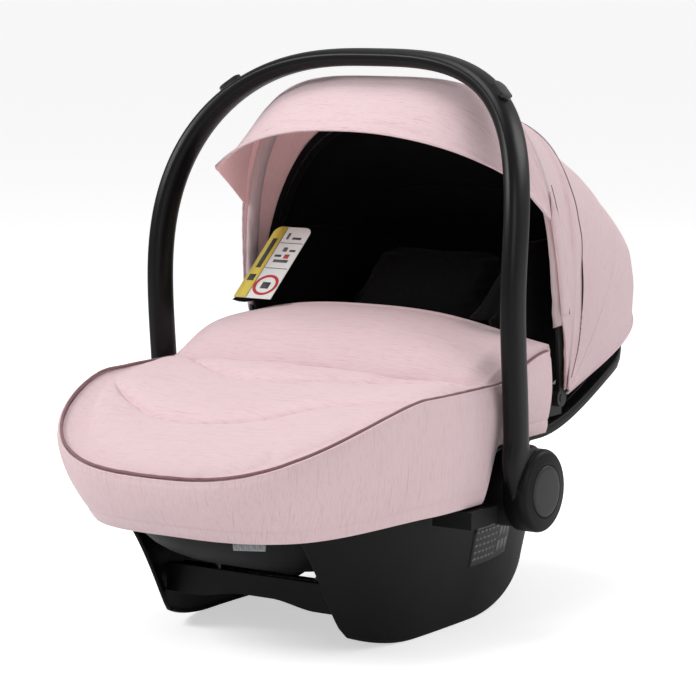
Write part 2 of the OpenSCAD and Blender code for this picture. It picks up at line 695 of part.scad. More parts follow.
// Belt hook on the underside of the shell's head end, square to the shell there
hook_w = 64;
hook_l = 34;
hook_t = 12;
function shell_under(s) = let (h = cup_head(s)) [h[0], lerp(h[1], rim_at(h[0]), pow(s, 6))];
module belt_hook_rear() {
    a = shell_under(0.6);
    b = shell_under(0.72);
    color(PLASTIC) translate([-hook_w / 2, a[0], a[1]]) rotate([atan2(b[1] - a[1], b[0] - a[0]), 0, 0])
        translate([0, 0, -hook_t - 0.5]) difference() {
            cube([hook_w, hook_l, hook_t]);
            translate([9, 6, -1]) cube([hook_w - 18, 16, hook_t - 2]);
            translate([9, -1, -1]) cube([hook_w - 18, 10, 6]);
        }
}

// ---- Foot cover ----

cover_front = half_len;
cover_yc = -60;
cover_n = 2.9;
// Plan of the foot cover at angle u: straight sides behind cover_yc, round in front of it
function cover_plan(u, off) = oval(cover_half_w - off, cover_front + cover_yc - off, cover_n, u) + [0, cover_yc];
// Height of the seam between the top and the skirt at y
function seam_at(y) = lerp(seam_side_z, seam_foot_z, pow(clamp((-160 - y) / (half_len - 160), 0, 1), 1.5))
    + (seam_rear_z - seam_side_z) * ease(-40, cover_rear, y);
// Height of the skirt's lower edge at y
function hem_at(y) = lerp(hem_foot_z + 12, hem_foot_z, ease(150, 300, -y))
    + (hub_z + hub_r + 6 - hem_foot_z - 12) * ease(-64, -30, y);
// Stations round the cover's edge, from the right rear corner to the left one
function cover_edge(off) = concat(
    [for (k = [0 : 5]) [cover_half_w - off, lerp(cover_rear, cover_yc, k / 6)]],
    [for (k = [0 : 36]) cover_plan(-180 * k / 36, off)],
    [for (k = [1 : 6]) [off - cover_half_w, lerp(cover_yc, cover_rear, k / 6)]]);
skirt_in = 1.6 * fabric_t;
// How far the skirt tucks in from its seam to its hem, at the sides and round the foot end
tuck_side = 5;
tuck_foot = 36;
module boot_skirt() {
    levels = [0, 0.2, 0.45, 0.7, 1];
    function tuck(y, t) = lerp(tuck_side, tuck_foot, ease(130, 300, -y)) * pow(1 - t, 1.5);
    function grid(off) = [for (p0 = cover_edge(0)) let (y = p0[1])
        [for (t = levels) let (
            e = unit([p0[0] / cover_half_w, min(y - cover_yc, 0) / cover_front, 0]), d = off + tuck(y, t))
            [p0[0] - e[0] * d, y - e[1] * d, lerp(hem_at(y), seam_at(y) - 3.2, t)]]];
    color(PINK) between(grid(0), grid(skirt_in));
}
// Pull strap's loop end, hanging inside the skirt's hem to one side of the foot end's middle
loop_angle = -69;
loop_w = 30;
loop_gap = 2.1;
module adjuster_strap() {
    p = cover_plan(loop_angle, 0);
    along = unit(cover_plan(loop_angle + 6, 0) - cover_plan(loop_angle - 6, 0));
    e = unit([p[0] / cover_half_w, (p[1] - cover_yc) / cover_front]);
    inner = p - e * (skirt_in + lerp(tuck_side, tuck_foot, ease(130, 300, -p[1])));
    z = hem_at(p[1]);
    route = [for (q = [[1, 7], [0, 0], [0.6, -6], [2.6, -8.5], [4.6, -6], [5, 5]])
        let (d = strap_t / 2 + loop_gap + q[0]) [inner[0] - d * along[1], inner[1] + d * along[0], z + q[1]]];
    color(WEBBING) skin(sections(smooth_path(route, 16), box_section(loop_w, strap_t), [along[0], along[1], 0]));
}
piping_r = 2.2;
module boot_piping() {
    edge = [for (p = cover_edge(skirt_in)) [p[0], p[1], seam_at(p[1]) - 0.6]];
    color([0.42, 0.33, 0.35]) skin(sections(edge, disc(piping_r, 6), [0, 0, 1]));
}
// Top of the cover: rows from side to side, at height that follows the seams and dips in the middle
function top_mid_z(y) = lerp(seam_foot_z, crease_z, clamp((y + half_len) / (half_len - crease_y), 0, 1));
function top_half_w(y, off = 0) = y > cover_yc ? cover_half_w - off : (cover_half_w - off)
    * pow(1 - pow(clamp((cover_yc - y) / (cover_front + cover_yc - off), 0, 0.9995), cover_n), 1 / cover_n);
function top_z(x, y) = lerp(top_mid_z(y), seam_at(y), pow(clamp(abs(x) / top_half_w(y), 0, 1), 3));
module boot_top() {
    edge_in = skirt_in + 2 * piping_r + 0.9;
    n = 20;
    ys = [for (k = [0 : n]) lerp(edge_in + 1 - half_len, -crease_y - 1, pow(k / n, 0.75))];
    xs = [for (k = [-12 : 12]) sin(90 * k / 12)];
    function grid(dz) = [for (y = ys) let (w = top_half_w(y, edge_in))
        [for (x = xs) [x * w, y, top_z(x * w, y) + dz]]];
    color(PINK) between(grid(3), grid(-6));
}
module chest_flap() {
    n = 8;
    half_w = cover_half_w - 7.5;
    function flap_top(x) = lerp(flap_z, seam_rear_z + 13, pow(abs(x) / half_w, 2));
    function grid(off) = [for (k = [0 : n]) let (t = k / n)
        [for (j = [-12 : 12]) let (
            x = half_w * sin(90 * j / 12), low = top_z(x, -crease_y), y = lerp(-crease_y, 30, t))
            [x, y + 0.6 * off, lerp(low, flap_top(x), sin(90 * t)) - 0.8 * off]]];
    color(PINK) between(grid(0), grid(6));
}

// ---- Labels ----

tag_w = 47;
tag_l = 104;
tag_corner = 9;
// Stiff tag along the left wing's leaning front edge, reaching in past the wing's inner face
module warning_tag() {
    x0 = 1 - headrest_half_w - wing_t;
    color([0.95, 0.95, 0.93]) translate([x0, wing_y, wing_foot_z]) rotate([wing_lean, 0, 0])
        translate([0, 2, 0.4]) linear_extrude(0.8) union() {
            square([tag_w, tag_l / 2]);
            offset(tag_corner, $fn = 32) translate([tag_corner, tag_corner])
                square([tag_w - 2 * tag_corner, tag_l - 2 * tag_corner]);
        }
}
// Label that follows the base's right-hand wall
module data_label() {
    function row(y, off) = let (u = atan2(y + 30, base_top_half_w))
        [for (t = [0.42, 0.56, 0.7]) base_point(u, t, off)];
    ys = [for (k = [0 : 6]) lerp(8, 92, k / 6)];
    color([0.8, 0.8, 0.8]) between([for (y = ys) row(y, -0.15)], [for (y = ys) row(y, -0.6)]);
}

bucket_shell();
rocker_base();
front_cross_wall();
rear_cross_wall();
base_screws();
side(-1) pivot_boss();  // pivot_boss_left
side(1) pivot_boss();  // pivot_boss_right
side(-1) adapter_socket();  // adapter_socket_left
side(1) adapter_socket();  // adapter_socket_right
side(-1) ratchet_ring();  // ratchet_ring_left
side(1) ratchet_ring();  // ratchet_ring_right
latch_bar(-118, 52);  // latch_bar_front
latch_bar(82, 52);  // latch_bar_rear
belt_hook_rear();
data_label();
handle_outer();
handle_inner();
side(-1) hub_cover();  // hub_cover_left
side(1) hub_cover();  // hub_cover_right
side(-1) hub_badge();  // hub_badge_left
side(1) hub_badge();  // hub_badge_right
side(-1) pivot_bolt();  // pivot_bolt_left
side(1) pivot_bolt();  // pivot_bolt_right
side(-1) lock_slider();  // lock_slider_left
side(1) lock_slider();  // lock_slider_right
side(-1) lock_spring();  // lock_spring_left
side(1) lock_spring();  // lock_spring_right
side(-1) release_button();  // release_button_left
side(1) release_button();  // release_button_right
side(-1) canopy_pivot();  // canopy_pivot_left
side(1) canopy_pivot();  // canopy_pivot_right
front_bow();
mid_bow();
canopy_front_panel();
canopy_rear_panel();
visor();
foam_liner();
seat_liner();
headrest();
head_cushion();
seat_insert();
side(-1) shoulder_strap();  // shoulder_strap_left
side(1) shoulder_strap();  // shoulder_strap_right
side(-1) shoulder_pad();  // shoulder_pad_left
side(1) shoulder_pad();  // shoulder_pad_right
crotch_strap();
crotch_pad();
buckle_body();
buckle_button();
side(-1) buckle_tongue();  // buckle_tongue_left
side(1) buckle_tongue();  // buckle_tongue_right
yoke_plate();
adjuster_housing();
adjuster_button();
adjuster_strap();
boot_top();
boot_skirt();
chest_flap();
boot_piping();
warning_tag();
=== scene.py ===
# Infant car seat with a pink canopy and foot cover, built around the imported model.
import math

import bmesh
import bpy
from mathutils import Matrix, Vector, noise


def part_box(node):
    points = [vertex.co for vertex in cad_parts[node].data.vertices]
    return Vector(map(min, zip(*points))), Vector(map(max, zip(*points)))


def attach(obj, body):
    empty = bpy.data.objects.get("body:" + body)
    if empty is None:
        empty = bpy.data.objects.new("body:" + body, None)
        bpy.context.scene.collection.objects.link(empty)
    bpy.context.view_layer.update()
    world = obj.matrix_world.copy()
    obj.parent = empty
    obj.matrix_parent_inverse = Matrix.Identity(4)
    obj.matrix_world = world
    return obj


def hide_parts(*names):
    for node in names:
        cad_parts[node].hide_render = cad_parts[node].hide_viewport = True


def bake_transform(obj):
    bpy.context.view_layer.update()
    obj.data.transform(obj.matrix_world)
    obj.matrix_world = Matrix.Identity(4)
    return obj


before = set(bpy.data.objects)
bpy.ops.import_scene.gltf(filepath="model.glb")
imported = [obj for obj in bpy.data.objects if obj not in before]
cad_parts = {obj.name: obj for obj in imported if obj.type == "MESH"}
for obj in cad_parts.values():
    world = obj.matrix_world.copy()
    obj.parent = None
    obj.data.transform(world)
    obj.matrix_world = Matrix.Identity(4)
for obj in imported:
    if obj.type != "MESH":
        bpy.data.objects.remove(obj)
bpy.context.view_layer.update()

MM = 0.001


def node_box(node):
    """Lowest and highest corner of a CAD node, in millimetres."""
    low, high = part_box(node)
    return low / MM, high / MM


# Sizes read from the frame, in millimetres
skirt_low, skirt_high = node_box("boot_skirt")
shell_high = node_box("bucket_shell")[1]
base_high = node_box("rocker_base")[1]
hub_low, hub_high = node_box("hub_cover_right")

# Sizes that the formulas of the shapes share with the frame, in millimetres
COVER_W = skirt_high.x
HALF_LEN = -skirt_low.y
SHELL_HEAD = shell_high.y
RIM_W = shell_high.x
LIP, SHELL_WALL, BASE_WALL = 8, 3.5, 4
RIM_Z, RIM_FOOT_Z, RIM_REAR_Z, RIM_HEAD_Z = 196, 172, 244, shell_high.z
FOLD_Y, FOLD_Z = 95, 222
HUB_Z, HUB_R = 145, 41
FRONT_LEAN, MID_LEAN, HEM_LEAN = -6.3, 10.2, 73.5
LEG_X = (hub_low.x + hub_high.x) / 2 - 2.2
WIDE_Z, BOW_Z, BOW_Y, GRIP_Y, GRIP_Z = 337, 331, 41.5, 43, 561
HANDLE_N = 2.9
COVER_YC = -60
COVER_N = 2.9
CREASE_Y, CREASE_Z = 62, 252
SEAM_FOOT_Z, SEAM_SIDE_Z, SEAM_REAR_Z = 187, 252, 274
PIPING_R = 1.5
BASE_TOP_Z = base_high.z
WING_HALF_W, WING_Y, WING_FOOT_Z, WING_LEAN, WING_YC, HEAD_REAR = 132, 8, 309, 40.4, 95, 240
WING_T, WING_TOP_Z = 24, 376
FOOT_END, HEAD_END = HALF_LEN - 15, SHELL_HEAD
COVER_REAR, FLAP_Z = 60, 309
HEM_SIDE_Z, HEM_FOOT_Z = 139, 127
TUCK_SIDE, TUCK_FOOT = 5, 36
ARCH_END = 3  # arch angle at which the hood's cloth starts above its hinges
ALONG_STEP = 0.002  # share of a path over which its direction is measured


# ---- Shape formulas, in millimetres and degrees ----

def sin(a):
    return math.sin(math.radians(a))


def cos(a):
    return math.cos(math.radians(a))


def lerp(a, b, t):
    return a + (b - a) * t


def clamp(v, low=0.0, high=1.0):
    return max(low, min(high, v))


def ease(a, b, v):
    t = clamp((v - a) / (b - a))
    return t * t * (3 - 2 * t)


def ridge_at(v, middle, width):
    """Height at v of a smooth ridge of height 1."""
    return math.exp(-((v - middle) / width) ** 2)


def oval(a, b, n, u):
    """Point at angle u on a rounded rectangle with half sizes a and b."""
    r = ((abs(cos(u)) / a) ** n + (abs(sin(u)) / b) ** n) ** (-1 / n)
    return r * cos(u), r * sin(u)


def bezier(a, b, c, d, t):
    return a * (1 - t) ** 3 + b * 3 * t * (1 - t) ** 2 + c * 3 * t * t * (1 - t) + d * t ** 3


def through(points, x):
    """Height at x of a smooth curve through the given points."""
    k = 0
    while k < len(points) - 2 and x > points[k + 1][0]:
        k += 1
    x0, y0 = points[k]
    x1, y1 = points[k + 1]
    before = points[max(k - 1, 0)]
    after = points[min(k + 2, len(points) - 1)]
    t = clamp((x - x0) / (x1 - x0))
    m0 = (y1 - before[1]) / (x1 - before[0]) * (x1 - x0)
    m1 = (after[1] - y0) / (after[0] - x0) * (x1 - x0)
    return (y0 * (1 + 2 * t) * (1 - t) ** 2 + m0 * t * (1 - t) ** 2
            + y1 * t * t * (3 - 2 * t) + m1 * t * t * (t - 1))


def ripple(x, y, z, size, seed=0.0):
    """Soft noise from -1 to 1 whose lumps are about size millimetres across."""
    return noise.noise(Vector((x / size + seed, y / size - seed, z / size + 0.5 * seed)))


def rim_at(y):
    return (RIM_Z + (RIM_FOOT_Z - RIM_Z) * ease(150, FOOT_END, -y)
            + (RIM_REAR_Z - RIM_Z) * ease(60, 270, y)
            + (RIM_HEAD_Z - RIM_REAR_Z) * ease(240, HEAD_END, y))


def cup_point(s, off, u, lift=0.0):
    """Point of the bucket at depth share s (0 floor, 1 rim) and plan angle u, shrunk by off."""
    foot = (bezier(-165, -270, -290, LIP - FOOT_END, s), bezier(72, 88, 130, RIM_FOOT_Z, s))
    head = (bezier(110, 160, 215, SHELL_HEAD - LIP, s), bezier(72, 76, 150, RIM_HEAD_Z, s))
    half_w = bezier(100, 128, 138, RIM_W - LIP, s)
    yc = 20
    rear = sin(u) > 0
    b = head[0] - yc - off if rear else yc - foot[0] - off
    x, y = oval(half_w - off, b, lerp(2.1, 3.8, s ** 4) if rear else 2.9, u)
    y += yc
    floor_z = min(lerp(foot[1], head[1], ease(foot[0], head[0], y)), rim_at(y) - 70 * (1 - s))
    return x, y, lerp(floor_z, rim_at(y), s ** 6) + off * (1 - s ** 3) + lift


def rocker_at(y):
    d = max(-80 - y, y - 24, 0)
    return 250 - math.sqrt(250 * 250 - d * d)


def base_point(u, t, off):
    a = lerp(126, 150, t) - off
    b = (255 - 10 * (1 - t) if sin(u) > 0 else 277 - 62 * (1 - t ** 1.3)) - off
    x, y = oval(a, b, 3.2 if sin(u) > 0 else 2.6, u)
    return x, y - 30, lerp(rocker_at(y - 30), BASE_TOP_Z, t)


def handle_y(z):
    if z < BOW_Z:
        return lerp(8 - BOW_Y, -BOW_Y, ease(190, BOW_Z, z))
    return -BOW_Y + (GRIP_Y + BOW_Y) * ((z - BOW_Z) / (GRIP_Z - BOW_Z)) ** 2


def reach(v):
    return (262 + 59 * clamp((60 - v) / (60 - FRONT_LEAN), 0, 1.05) ** 2.6
            + 14 * ease(36, 62, v) - 28 * clamp((v - 54) / (HEM_LEAN - 54)) ** 1.2)


def arch_n(v):
    if v < MID_LEAN:
        return lerp(3.7, 3.45, ease(FRONT_LEAN, MID_LEAN, v))
    return lerp(3.45, 4, ease(MID_LEAN, 50, v))


def canopy_point(u, v, off):
    """Point of the canopy at arch angle u (0 right hinge, 180 left) and lean v, moved in by off."""
    x, h = oval(COVER_W - 4 * ease(50, HEM_LEAN, v) - off, reach(v) - off, arch_n(v), u)
    return x, FOLD_Y + h * sin(v), FOLD_Z + h * cos(v)


def visor_point(w, t, off):
    """Point of the visor at share w across it (-1 left tip, 1 right tip) and t from root to edge."""
    a = canopy_point(90 - w * 46, FRONT_LEAN - 0.4, 0)
    d = abs(w) ** 2.3
    b = 0.943 * COVER_W * w, lerp(-25, 17, d), lerp(490, 446, d)
    bulge = 32 * t * (1 - t) * (1 - abs(w) ** 6)
    x, y, z = (lerp(p, q, t) for p, q in zip(a, b))
    return x - 0.5 * w * off, y - 0.45 * bulge + 0.3 * off, z + 0.89 * bulge - 0.8 * off


def seam_at(y):
    return (lerp(SEAM_SIDE_Z, SEAM_FOOT_Z, clamp((-160 - y) / 180) ** 1.5)
            + (SEAM_REAR_Z - SEAM_SIDE_Z) * ease(-40, COVER_REAR, y))


def hem_at(y):
    return lerp(HEM_SIDE_Z, HEM_FOOT_Z, ease(150, 300, -y)) + 53 * ease(-64, -30, y)


def cover_edge(s, off):
    """Plan point at share s round the foot cover's edge, from the right rear corner to the left."""
    straight = 0.13
    if s < straight:
        return COVER_W - off, lerp(COVER_REAR, COVER_YC, s / straight)
    if s > 1 - straight:
        return off - COVER_W, lerp(COVER_REAR, COVER_YC, (1 - s) / straight)
    u = -180 * (s - straight) / (1 - 2 * straight)
    x, y = oval(COVER_W - off, HALF_LEN + COVER_YC - off, COVER_N, u)
    return x, y + COVER_YC


def top_half_w(y, off=0.0):
    if y > COVER_YC:
        return COVER_W - off
    share = clamp((COVER_YC - y) / (HALF_LEN + COVER_YC - off), 0, 0.9995)
    return (COVER_W - off) * (1 - share ** COVER_N) ** (1 / COVER_N)


def top_z(x, y):
    middle = lerp(SEAM_FOOT_Z, CREASE_Z, clamp((y + HALF_LEN) / (HALF_LEN - CREASE_Y)))
    return lerp(middle, seam_at(y), clamp(abs(x) / top_half_w(y)) ** 3)


def wing_rise(y):
    slope = WING_FOOT_Z + (y - WING_Y) * math.tan(math.radians(WING_LEAN))
    return min(slope, WING_TOP_Z) - 24 * ease(150, 270, y)


def wing_base(y):
    return lerp(WING_FOOT_Z - 3, rim_at(y) + 9, ease(34, 64, y))


# ---- Building tools ----


def put_in_scene(name, data):
    made = bpy.data.objects.new(name, data)
    bpy.context.scene.collection.objects.link(made)
    return made


def finish_piece(name, bm, materials, replaces=(), body="seat", crease=None):
    """Turns a bmesh into a piece of the object; without a body it is left for a blend."""
    mesh = bpy.data.meshes.new(name)
    bm.to_mesh(mesh)
    bm.free()
    for material in materials:
        mesh.materials.append(material)
    mesh.shade_smooth()
    if crease:
        mesh.set_sharp_from_angle(angle=math.radians(crease))
    made = put_in_scene(name, mesh)
    if body:
        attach(made, body)
    if replaces:
        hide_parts(*replaces)
    return made


def laid_grid(place, cells, size, flip=False, seam=False, ends=False):
    """A grid whose points are placed by a formula of two shares, with a cloth map in metres.

    seam joins edges that meet, as along a tube, and ends also fills a tube's open ends.
    """
    bm = bmesh.new()
    layer = bm.loops.layers.uv.new("Cloth")
    bmesh.ops.create_grid(bm, x_segments=cells[0], y_segments=cells[1], size=0.5, calc_uvs=True)
    for face in bm.faces:
        for loop in face.loops:
            u, v = loop.vert.co.x + 0.5, loop.vert.co.y + 0.5
            loop[layer].uv = (u * size[0] * MM, v * size[1] * MM)
    for vert in bm.verts:
        vert.co = Vector(place(clamp(vert.co.x + 0.5), clamp(vert.co.y + 0.5))) * MM
    if seam:
        bmesh.ops.remove_doubles(bm, verts=bm.verts, dist=0.00002)
        if ends:
            bmesh.ops.holes_fill(bm, edges=[e for e in bm.edges if e.is_boundary], sides=0)
        bmesh.ops.recalc_face_normals(bm, faces=bm.faces)
    if flip:
        bmesh.ops.reverse_faces(bm, faces=bm.faces)
    return bm


def thicken(piece, thickness, inner=0, offset=-1.0):
    wall = piece.modifiers.new("wall", "SOLIDIFY")
    wall.thickness = thickness * MM
    wall.offset = offset
    wall.material_offset = inner
    wall.use_even_offset = False
    return wall


def soften(piece, width, segments=2, angle=35):
    edge = piece.modifiers.new("soft_edge", "BEVEL")
    edge.width = width * MM
    edge.segments = segments
    edge.limit_method = "ANGLE"
    edge.angle_limit = math.radians(angle)
    return edge


def subdivide(piece, levels=1):
    fine = piece.modifiers.new("fine", "SUBSURF")
    fine.levels = levels
    fine.render_levels = levels
    return fine


def sweep(path, section, cells):
    """A closed tube along path(s), with section(s, angle) given across and up its local frame."""
    def place(u, v):
        before, after = Vector(path(clamp(u - ALONG_STEP))), Vector(path(clamp(u + ALONG_STEP)))
        along = (after - before).normalized()
        ref = Vector(section(u, None))
        side = (ref - along * along.dot(ref)).normalized()
        across, up = section(u, 360 * v)
        return Vector(path(u)) + side * across + along.cross(side) * up

    return laid_grid(place, cells, (900, 100), seam=True, ends=True)


def lathe(profile, centre, steps=96):
    """A round piece about an X axis through centre, from (radius, x) points along its profile."""
    bm = bmesh.new()
    ring = [bm.verts.new(Vector((x, centre[1], centre[2] + r)) * MM) for r, x in profile]
    edges = [bm.edges.new(pair) for pair in zip(ring, ring[1:])]
    bmesh.ops.spin(bm, geom=ring + edges, cent=Vector((0, centre[1], centre[2])) * MM,
                   axis=(1, 0, 0), angle=2 * math.pi, steps=steps, use_merge=True)
    bmesh.ops.remove_doubles(bm, verts=bm.verts, dist=0.00001)
    bmesh.ops.recalc_face_normals(bm, faces=bm.faces)
    return bm


def slab(corners, depth, out):
    """A flat plate from its outline's points, raised by depth along out."""
    bm = bmesh.new()
    ring = [bm.verts.new(Vector(c) * MM) for c in corners]
    bm.faces.new(ring)
    raised = bmesh.ops.extrude_face_region(bm, geom=bm.faces[:])["geom"]
    moved = [g for g in raised if isinstance(g, bmesh.types.BMVert)]
    bmesh.ops.translate(bm, verts=moved, vec=Vector(out) * depth * MM)
    bmesh.ops.recalc_face_normals(bm, faces=bm.faces)
    return bm


def joined(grids):
    """One bmesh made of several."""
    whole = bmesh.new()
    for one in grids:
        part = bpy.data.meshes.new("part")
        one.to_mesh(part)
        one.free()
        whole.from_mesh(part)
        bpy.data.meshes.remove(part)
    return whole


def middle(bm):
    return sum((v.co for v in bm.verts), Vector()) / len(bm.verts)


def copied_node(node):
    """A merged copy of a CAD node's mesh."""
    bm = bmesh.new()
    bm.from_mesh(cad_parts[node].data)
    bmesh.ops.remove_doubles(bm, verts=bm.verts, dist=0.00001)
    return bm


# ---- Shader groups ----

def new_group(name, inputs, outputs):
    """A node group with a Vector input, named number inputs with defaults, and number outputs."""
    group = bpy.data.node_groups.new(name, "ShaderNodeTree")
    group.interface.new_socket("Vector", in_out="INPUT", socket_type="NodeSocketVector")
    for label, value in inputs.items():
        socket = group.interface.new_socket(label, in_out="INPUT", socket_type="NodeSocketFloat")
        socket.default_value = value
    for label in outputs:
        group.interface.new_socket(label, in_out="OUTPUT", socket_type="NodeSocketFloat")
    start = group.nodes.new("NodeGroupInput")
    return group, start, group.nodes.new("NodeGroupOutput"), {"Vector": start.outputs["Vector"]}


def add(tree, kind, settings=(), values=(), links=()):
    """Adds a node, sets its properties and socket values, and links its inputs."""
    node = tree.nodes.new(kind)
    for key, value in dict(settings).items():
        setattr(node, key, value)
    for key, value in dict(values).items():
        node.inputs[key].default_value = value
    for key, source in dict(links).items():
        tree.links.new(source, node.inputs[key])
    return node


def math_node(tree, operation, first, second):
    node = tree.nodes.new("ShaderNodeMath")
    node.operation = operation
    for index, value in enumerate((first, second)):
        if isinstance(value, (int, float)):
            node.inputs[index].default_value = value
        else:
            tree.links.new(value, node.inputs[index])
    return node.outputs[0]


def make_weave_group():
    """Plain weave: crossing threads with a little unevenness."""
    group, start, end, place = new_group("plain_weave", {"Threads": 900.0}, ["Height"])
    parts = add(group, "ShaderNodeSeparateXYZ", links={0: start.outputs["Vector"]})
    turns = math_node(group, "MULTIPLY", start.outputs["Threads"], 2 * math.pi)
    waves = []
    for axis in (0, 1):
        phase = math_node(group, "MULTIPLY", parts.outputs[axis], turns)
        waves.append(math_node(group, "SINE", phase, 0.0))
    crossed = math_node(group, "MULTIPLY", waves[0], waves[1])
    uneven = add(group, "ShaderNodeTexNoise", values={"Scale": 420.0, "Detail": 3.0}, links=place)
    group.links.new(math_node(group, "ADD", math_node(group, "MULTIPLY", crossed, 0.3),
                              uneven.outputs[0]), end.inputs["Height"])
    return group


def make_slub_group():
    """Melange yarn: short darker streaks that run along the first direction."""
    group, start, end, place = new_group("melange_slubs", {"Strength": 1.0}, ["Mask", "Cloud"])
    masks = []
    for along, across, low, high in ((34, 950, 0.53, 0.74), (90, 1700, 0.50, 0.72), (16, 420, 0.56, 0.8)):
        run = add(group, "ShaderNodeMapping", values={"Scale": (along, across, 1.0)}, links=place)
        fleck = add(group, "ShaderNodeTexNoise", values={"Scale": 1.0, "Detail": 2.0, "Roughness": 0.6},
                    links={"Vector": run.outputs[0]})
        masks.append(add(group, "ShaderNodeMapRange", {"interpolation_type": "SMOOTHSTEP"},
                         {"From Min": low, "From Max": high}, {"Value": fleck.outputs[0]}).outputs[0])
    total = math_node(group, "ADD", math_node(group, "ADD", masks[0], masks[1]), masks[2])
    group.links.new(math_node(group, "MULTIPLY", total, start.outputs["Strength"]), end.inputs["Mask"])
    cloud = add(group, "ShaderNodeTexNoise", values={"Scale": 9.0, "Detail": 2.0}, links=place)
    group.links.new(cloud.outputs[0], end.inputs["Cloud"])
    return group


def make_grain_group():
    """Moulded plastic: a fine spark-eroded grain, with faint handling marks for the roughness."""
    group, start, end, place = new_group("moulded_grain", {"Grain": 900.0, "Rough": 0.4, "Marks": 0.1},
                                         ["Height", "Roughness", "Wear"])
    grain = add(group, "ShaderNodeTexNoise", values={"Detail": 4.0},
                links={**place, "Scale": start.outputs["Grain"]})
    group.links.new(grain.outputs[0], end.inputs["Height"])
    marks = add(group, "ShaderNodeTexNoise", values={"Scale": 14.0, "Detail": 6.0, "Roughness": 0.65},
                links=place)
    spread = math_node(group, "MULTIPLY", math_node(group, "SUBTRACT", marks.outputs[0], 0.5),
                       start.outputs["Marks"])
    group.links.new(math_node(group, "ADD", start.outputs["Rough"], spread), end.inputs["Roughness"])
    edge = add(group, "ShaderNodeNewGeometry")
    worn = add(group, "ShaderNodeMapRange", values={"From Min": 0.52, "From Max": 0.62},
               links={"Value": edge.outputs["Pointiness"]})
    group.links.new(math_node(group, "MULTIPLY", worn.outputs[0], marks.outputs[0]), end.inputs["Wear"])
    return group


weave = make_weave_group()
slubs = make_slub_group()
grain = make_grain_group()


# ---- Materials ----

def new_material(name, values):
    """A material with its Principled shader's own values set."""
    material = bpy.data.materials.new(name)
    material.use_nodes = True
    shader = material.node_tree.nodes["Principled BSDF"]
    for key, value in values.items():
        shader.inputs[key].default_value = value
    return material, material.node_tree, shader


def use_group(tree, group, values, links):
    return add(tree, "ShaderNodeGroup", {"node_tree": group}, values, links)


def mix_colour(tree, factor, first, second):
    node = tree.nodes.new("ShaderNodeMix")
    node.data_type = "RGBA"
    for index, value in ((0, factor), (6, first), (7, second)):
        if hasattr(value, "links"):
            tree.links.new(value, node.inputs[index])
        else:
            node.inputs[index].default_value = value
    return node.outputs[2]


def bump(tree, shader, height, distance, strength=1.0):
    node = add(tree, "ShaderNodeBump", values={"Strength": strength, "Distance": distance},
               links={"Height": height})
    tree.links.new(node.outputs[0], shader.inputs["Normal"])


def melange_cloth(name, ground, fleck, strength=0.6, mapped=True, sheen=0.25, glow=0.0):
    """Woven melange cloth: pale ground with darker slub streaks."""
    # glow sets an emission in the ground colour: a painted glow, standing in for light shining through thin
    # cloth
    material, tree, shader = new_material(name, {"Roughness": 0.88, "Sheen Weight": sheen,
                                                 "Sheen Roughness": 0.5, "Specular IOR Level": 0.2,
                                                 "Emission Color": (*ground, 1),
                                                 "Emission Strength": glow})
    place = add(tree, "ShaderNodeTexCoord").outputs["UV" if mapped else "Object"]
    streaks = use_group(tree, slubs, {"Strength": strength}, {"Vector": place})
    threads = use_group(tree, weave, {"Threads": 1100.0}, {"Vector": place})
    toned = mix_colour(tree, streaks.outputs["Mask"], (*ground, 1), (*fleck, 1))
    cloudy = mix_colour(tree, math_node(tree, "MULTIPLY", streaks.outputs["Cloud"], 0.08), toned,
                        (*fleck, 1))
    tree.links.new(cloudy, shader.inputs["Base Color"])
    height = math_node(tree, "SUBTRACT", threads.outputs["Height"],
                       math_node(tree, "MULTIPLY", streaks.outputs["Mask"], 0.35))
    bump(tree, shader, height, 0.00035, 0.6)
    return material


def dark_cloth(name, ground, fleck, threads_per_metre=700.0, sheen=0.12):
    """Dark woven lining with a soft uneven nap."""
    material, tree, shader = new_material(name, {"Roughness": 0.95, "Sheen Weight": sheen,
                                                 "Specular IOR Level": 0.08})
    place = add(tree, "ShaderNodeTexCoord").outputs["Object"]
    threads = use_group(tree, weave, {"Threads": threads_per_metre}, {"Vector": place})
    tree.links.new(mix_colour(tree, threads.outputs["Height"], (*ground, 1), (*fleck, 1)),
                   shader.inputs["Base Color"])
    bump(tree, shader, threads.outputs["Height"], 0.0004, 0.7)
    return material


def grained(tree, scale, rough, marks):
    place = add(tree, "ShaderNodeTexCoord").outputs["Object"]
    return use_group(tree, grain, {"Grain": scale, "Rough": rough, "Marks": marks}, {"Vector": place})


def moulded(name, colour, worn, rough, marks=0.12, grain_scale=900.0, depth=0.00008, coat=0.0, gloss=0.3):
    """Moulded plastic with grain, handling marks and slightly paler worn edges."""
    material, tree, shader = new_material(name, {"Coat Weight": coat, "Coat Roughness": 0.12,
                                                 "Specular IOR Level": gloss})
    skin = grained(tree, grain_scale, rough, marks)
    tree.links.new(mix_colour(tree, skin.outputs["Wear"], (*colour, 1), (*worn, 1)),
                   shader.inputs["Base Color"])
    tree.links.new(skin.outputs["Roughness"], shader.inputs["Roughness"])
    bump(tree, shader, skin.outputs["Height"], depth, 0.8)
    return material


def printed(name, colour, worn, rough=0.5):
    """Smooth sticker stock or ink."""
    return moulded(name, colour, worn, rough, 0.1, 500.0, 0.00002)


def metal(name, colour, rough):
    material, tree, shader = new_material(name, {"Metallic": 1.0})
    skin = grained(tree, 300.0, rough, 0.2)
    tree.links.new(mix_colour(tree, skin.outputs["Height"], (*colour, 1), (*[0.8 * c for c in colour], 1)),
                   shader.inputs["Base Color"])
    tree.links.new(skin.outputs["Roughness"], shader.inputs["Roughness"])
    bump(tree, shader, skin.outputs["Height"], 0.00003, 0.5)
    return material


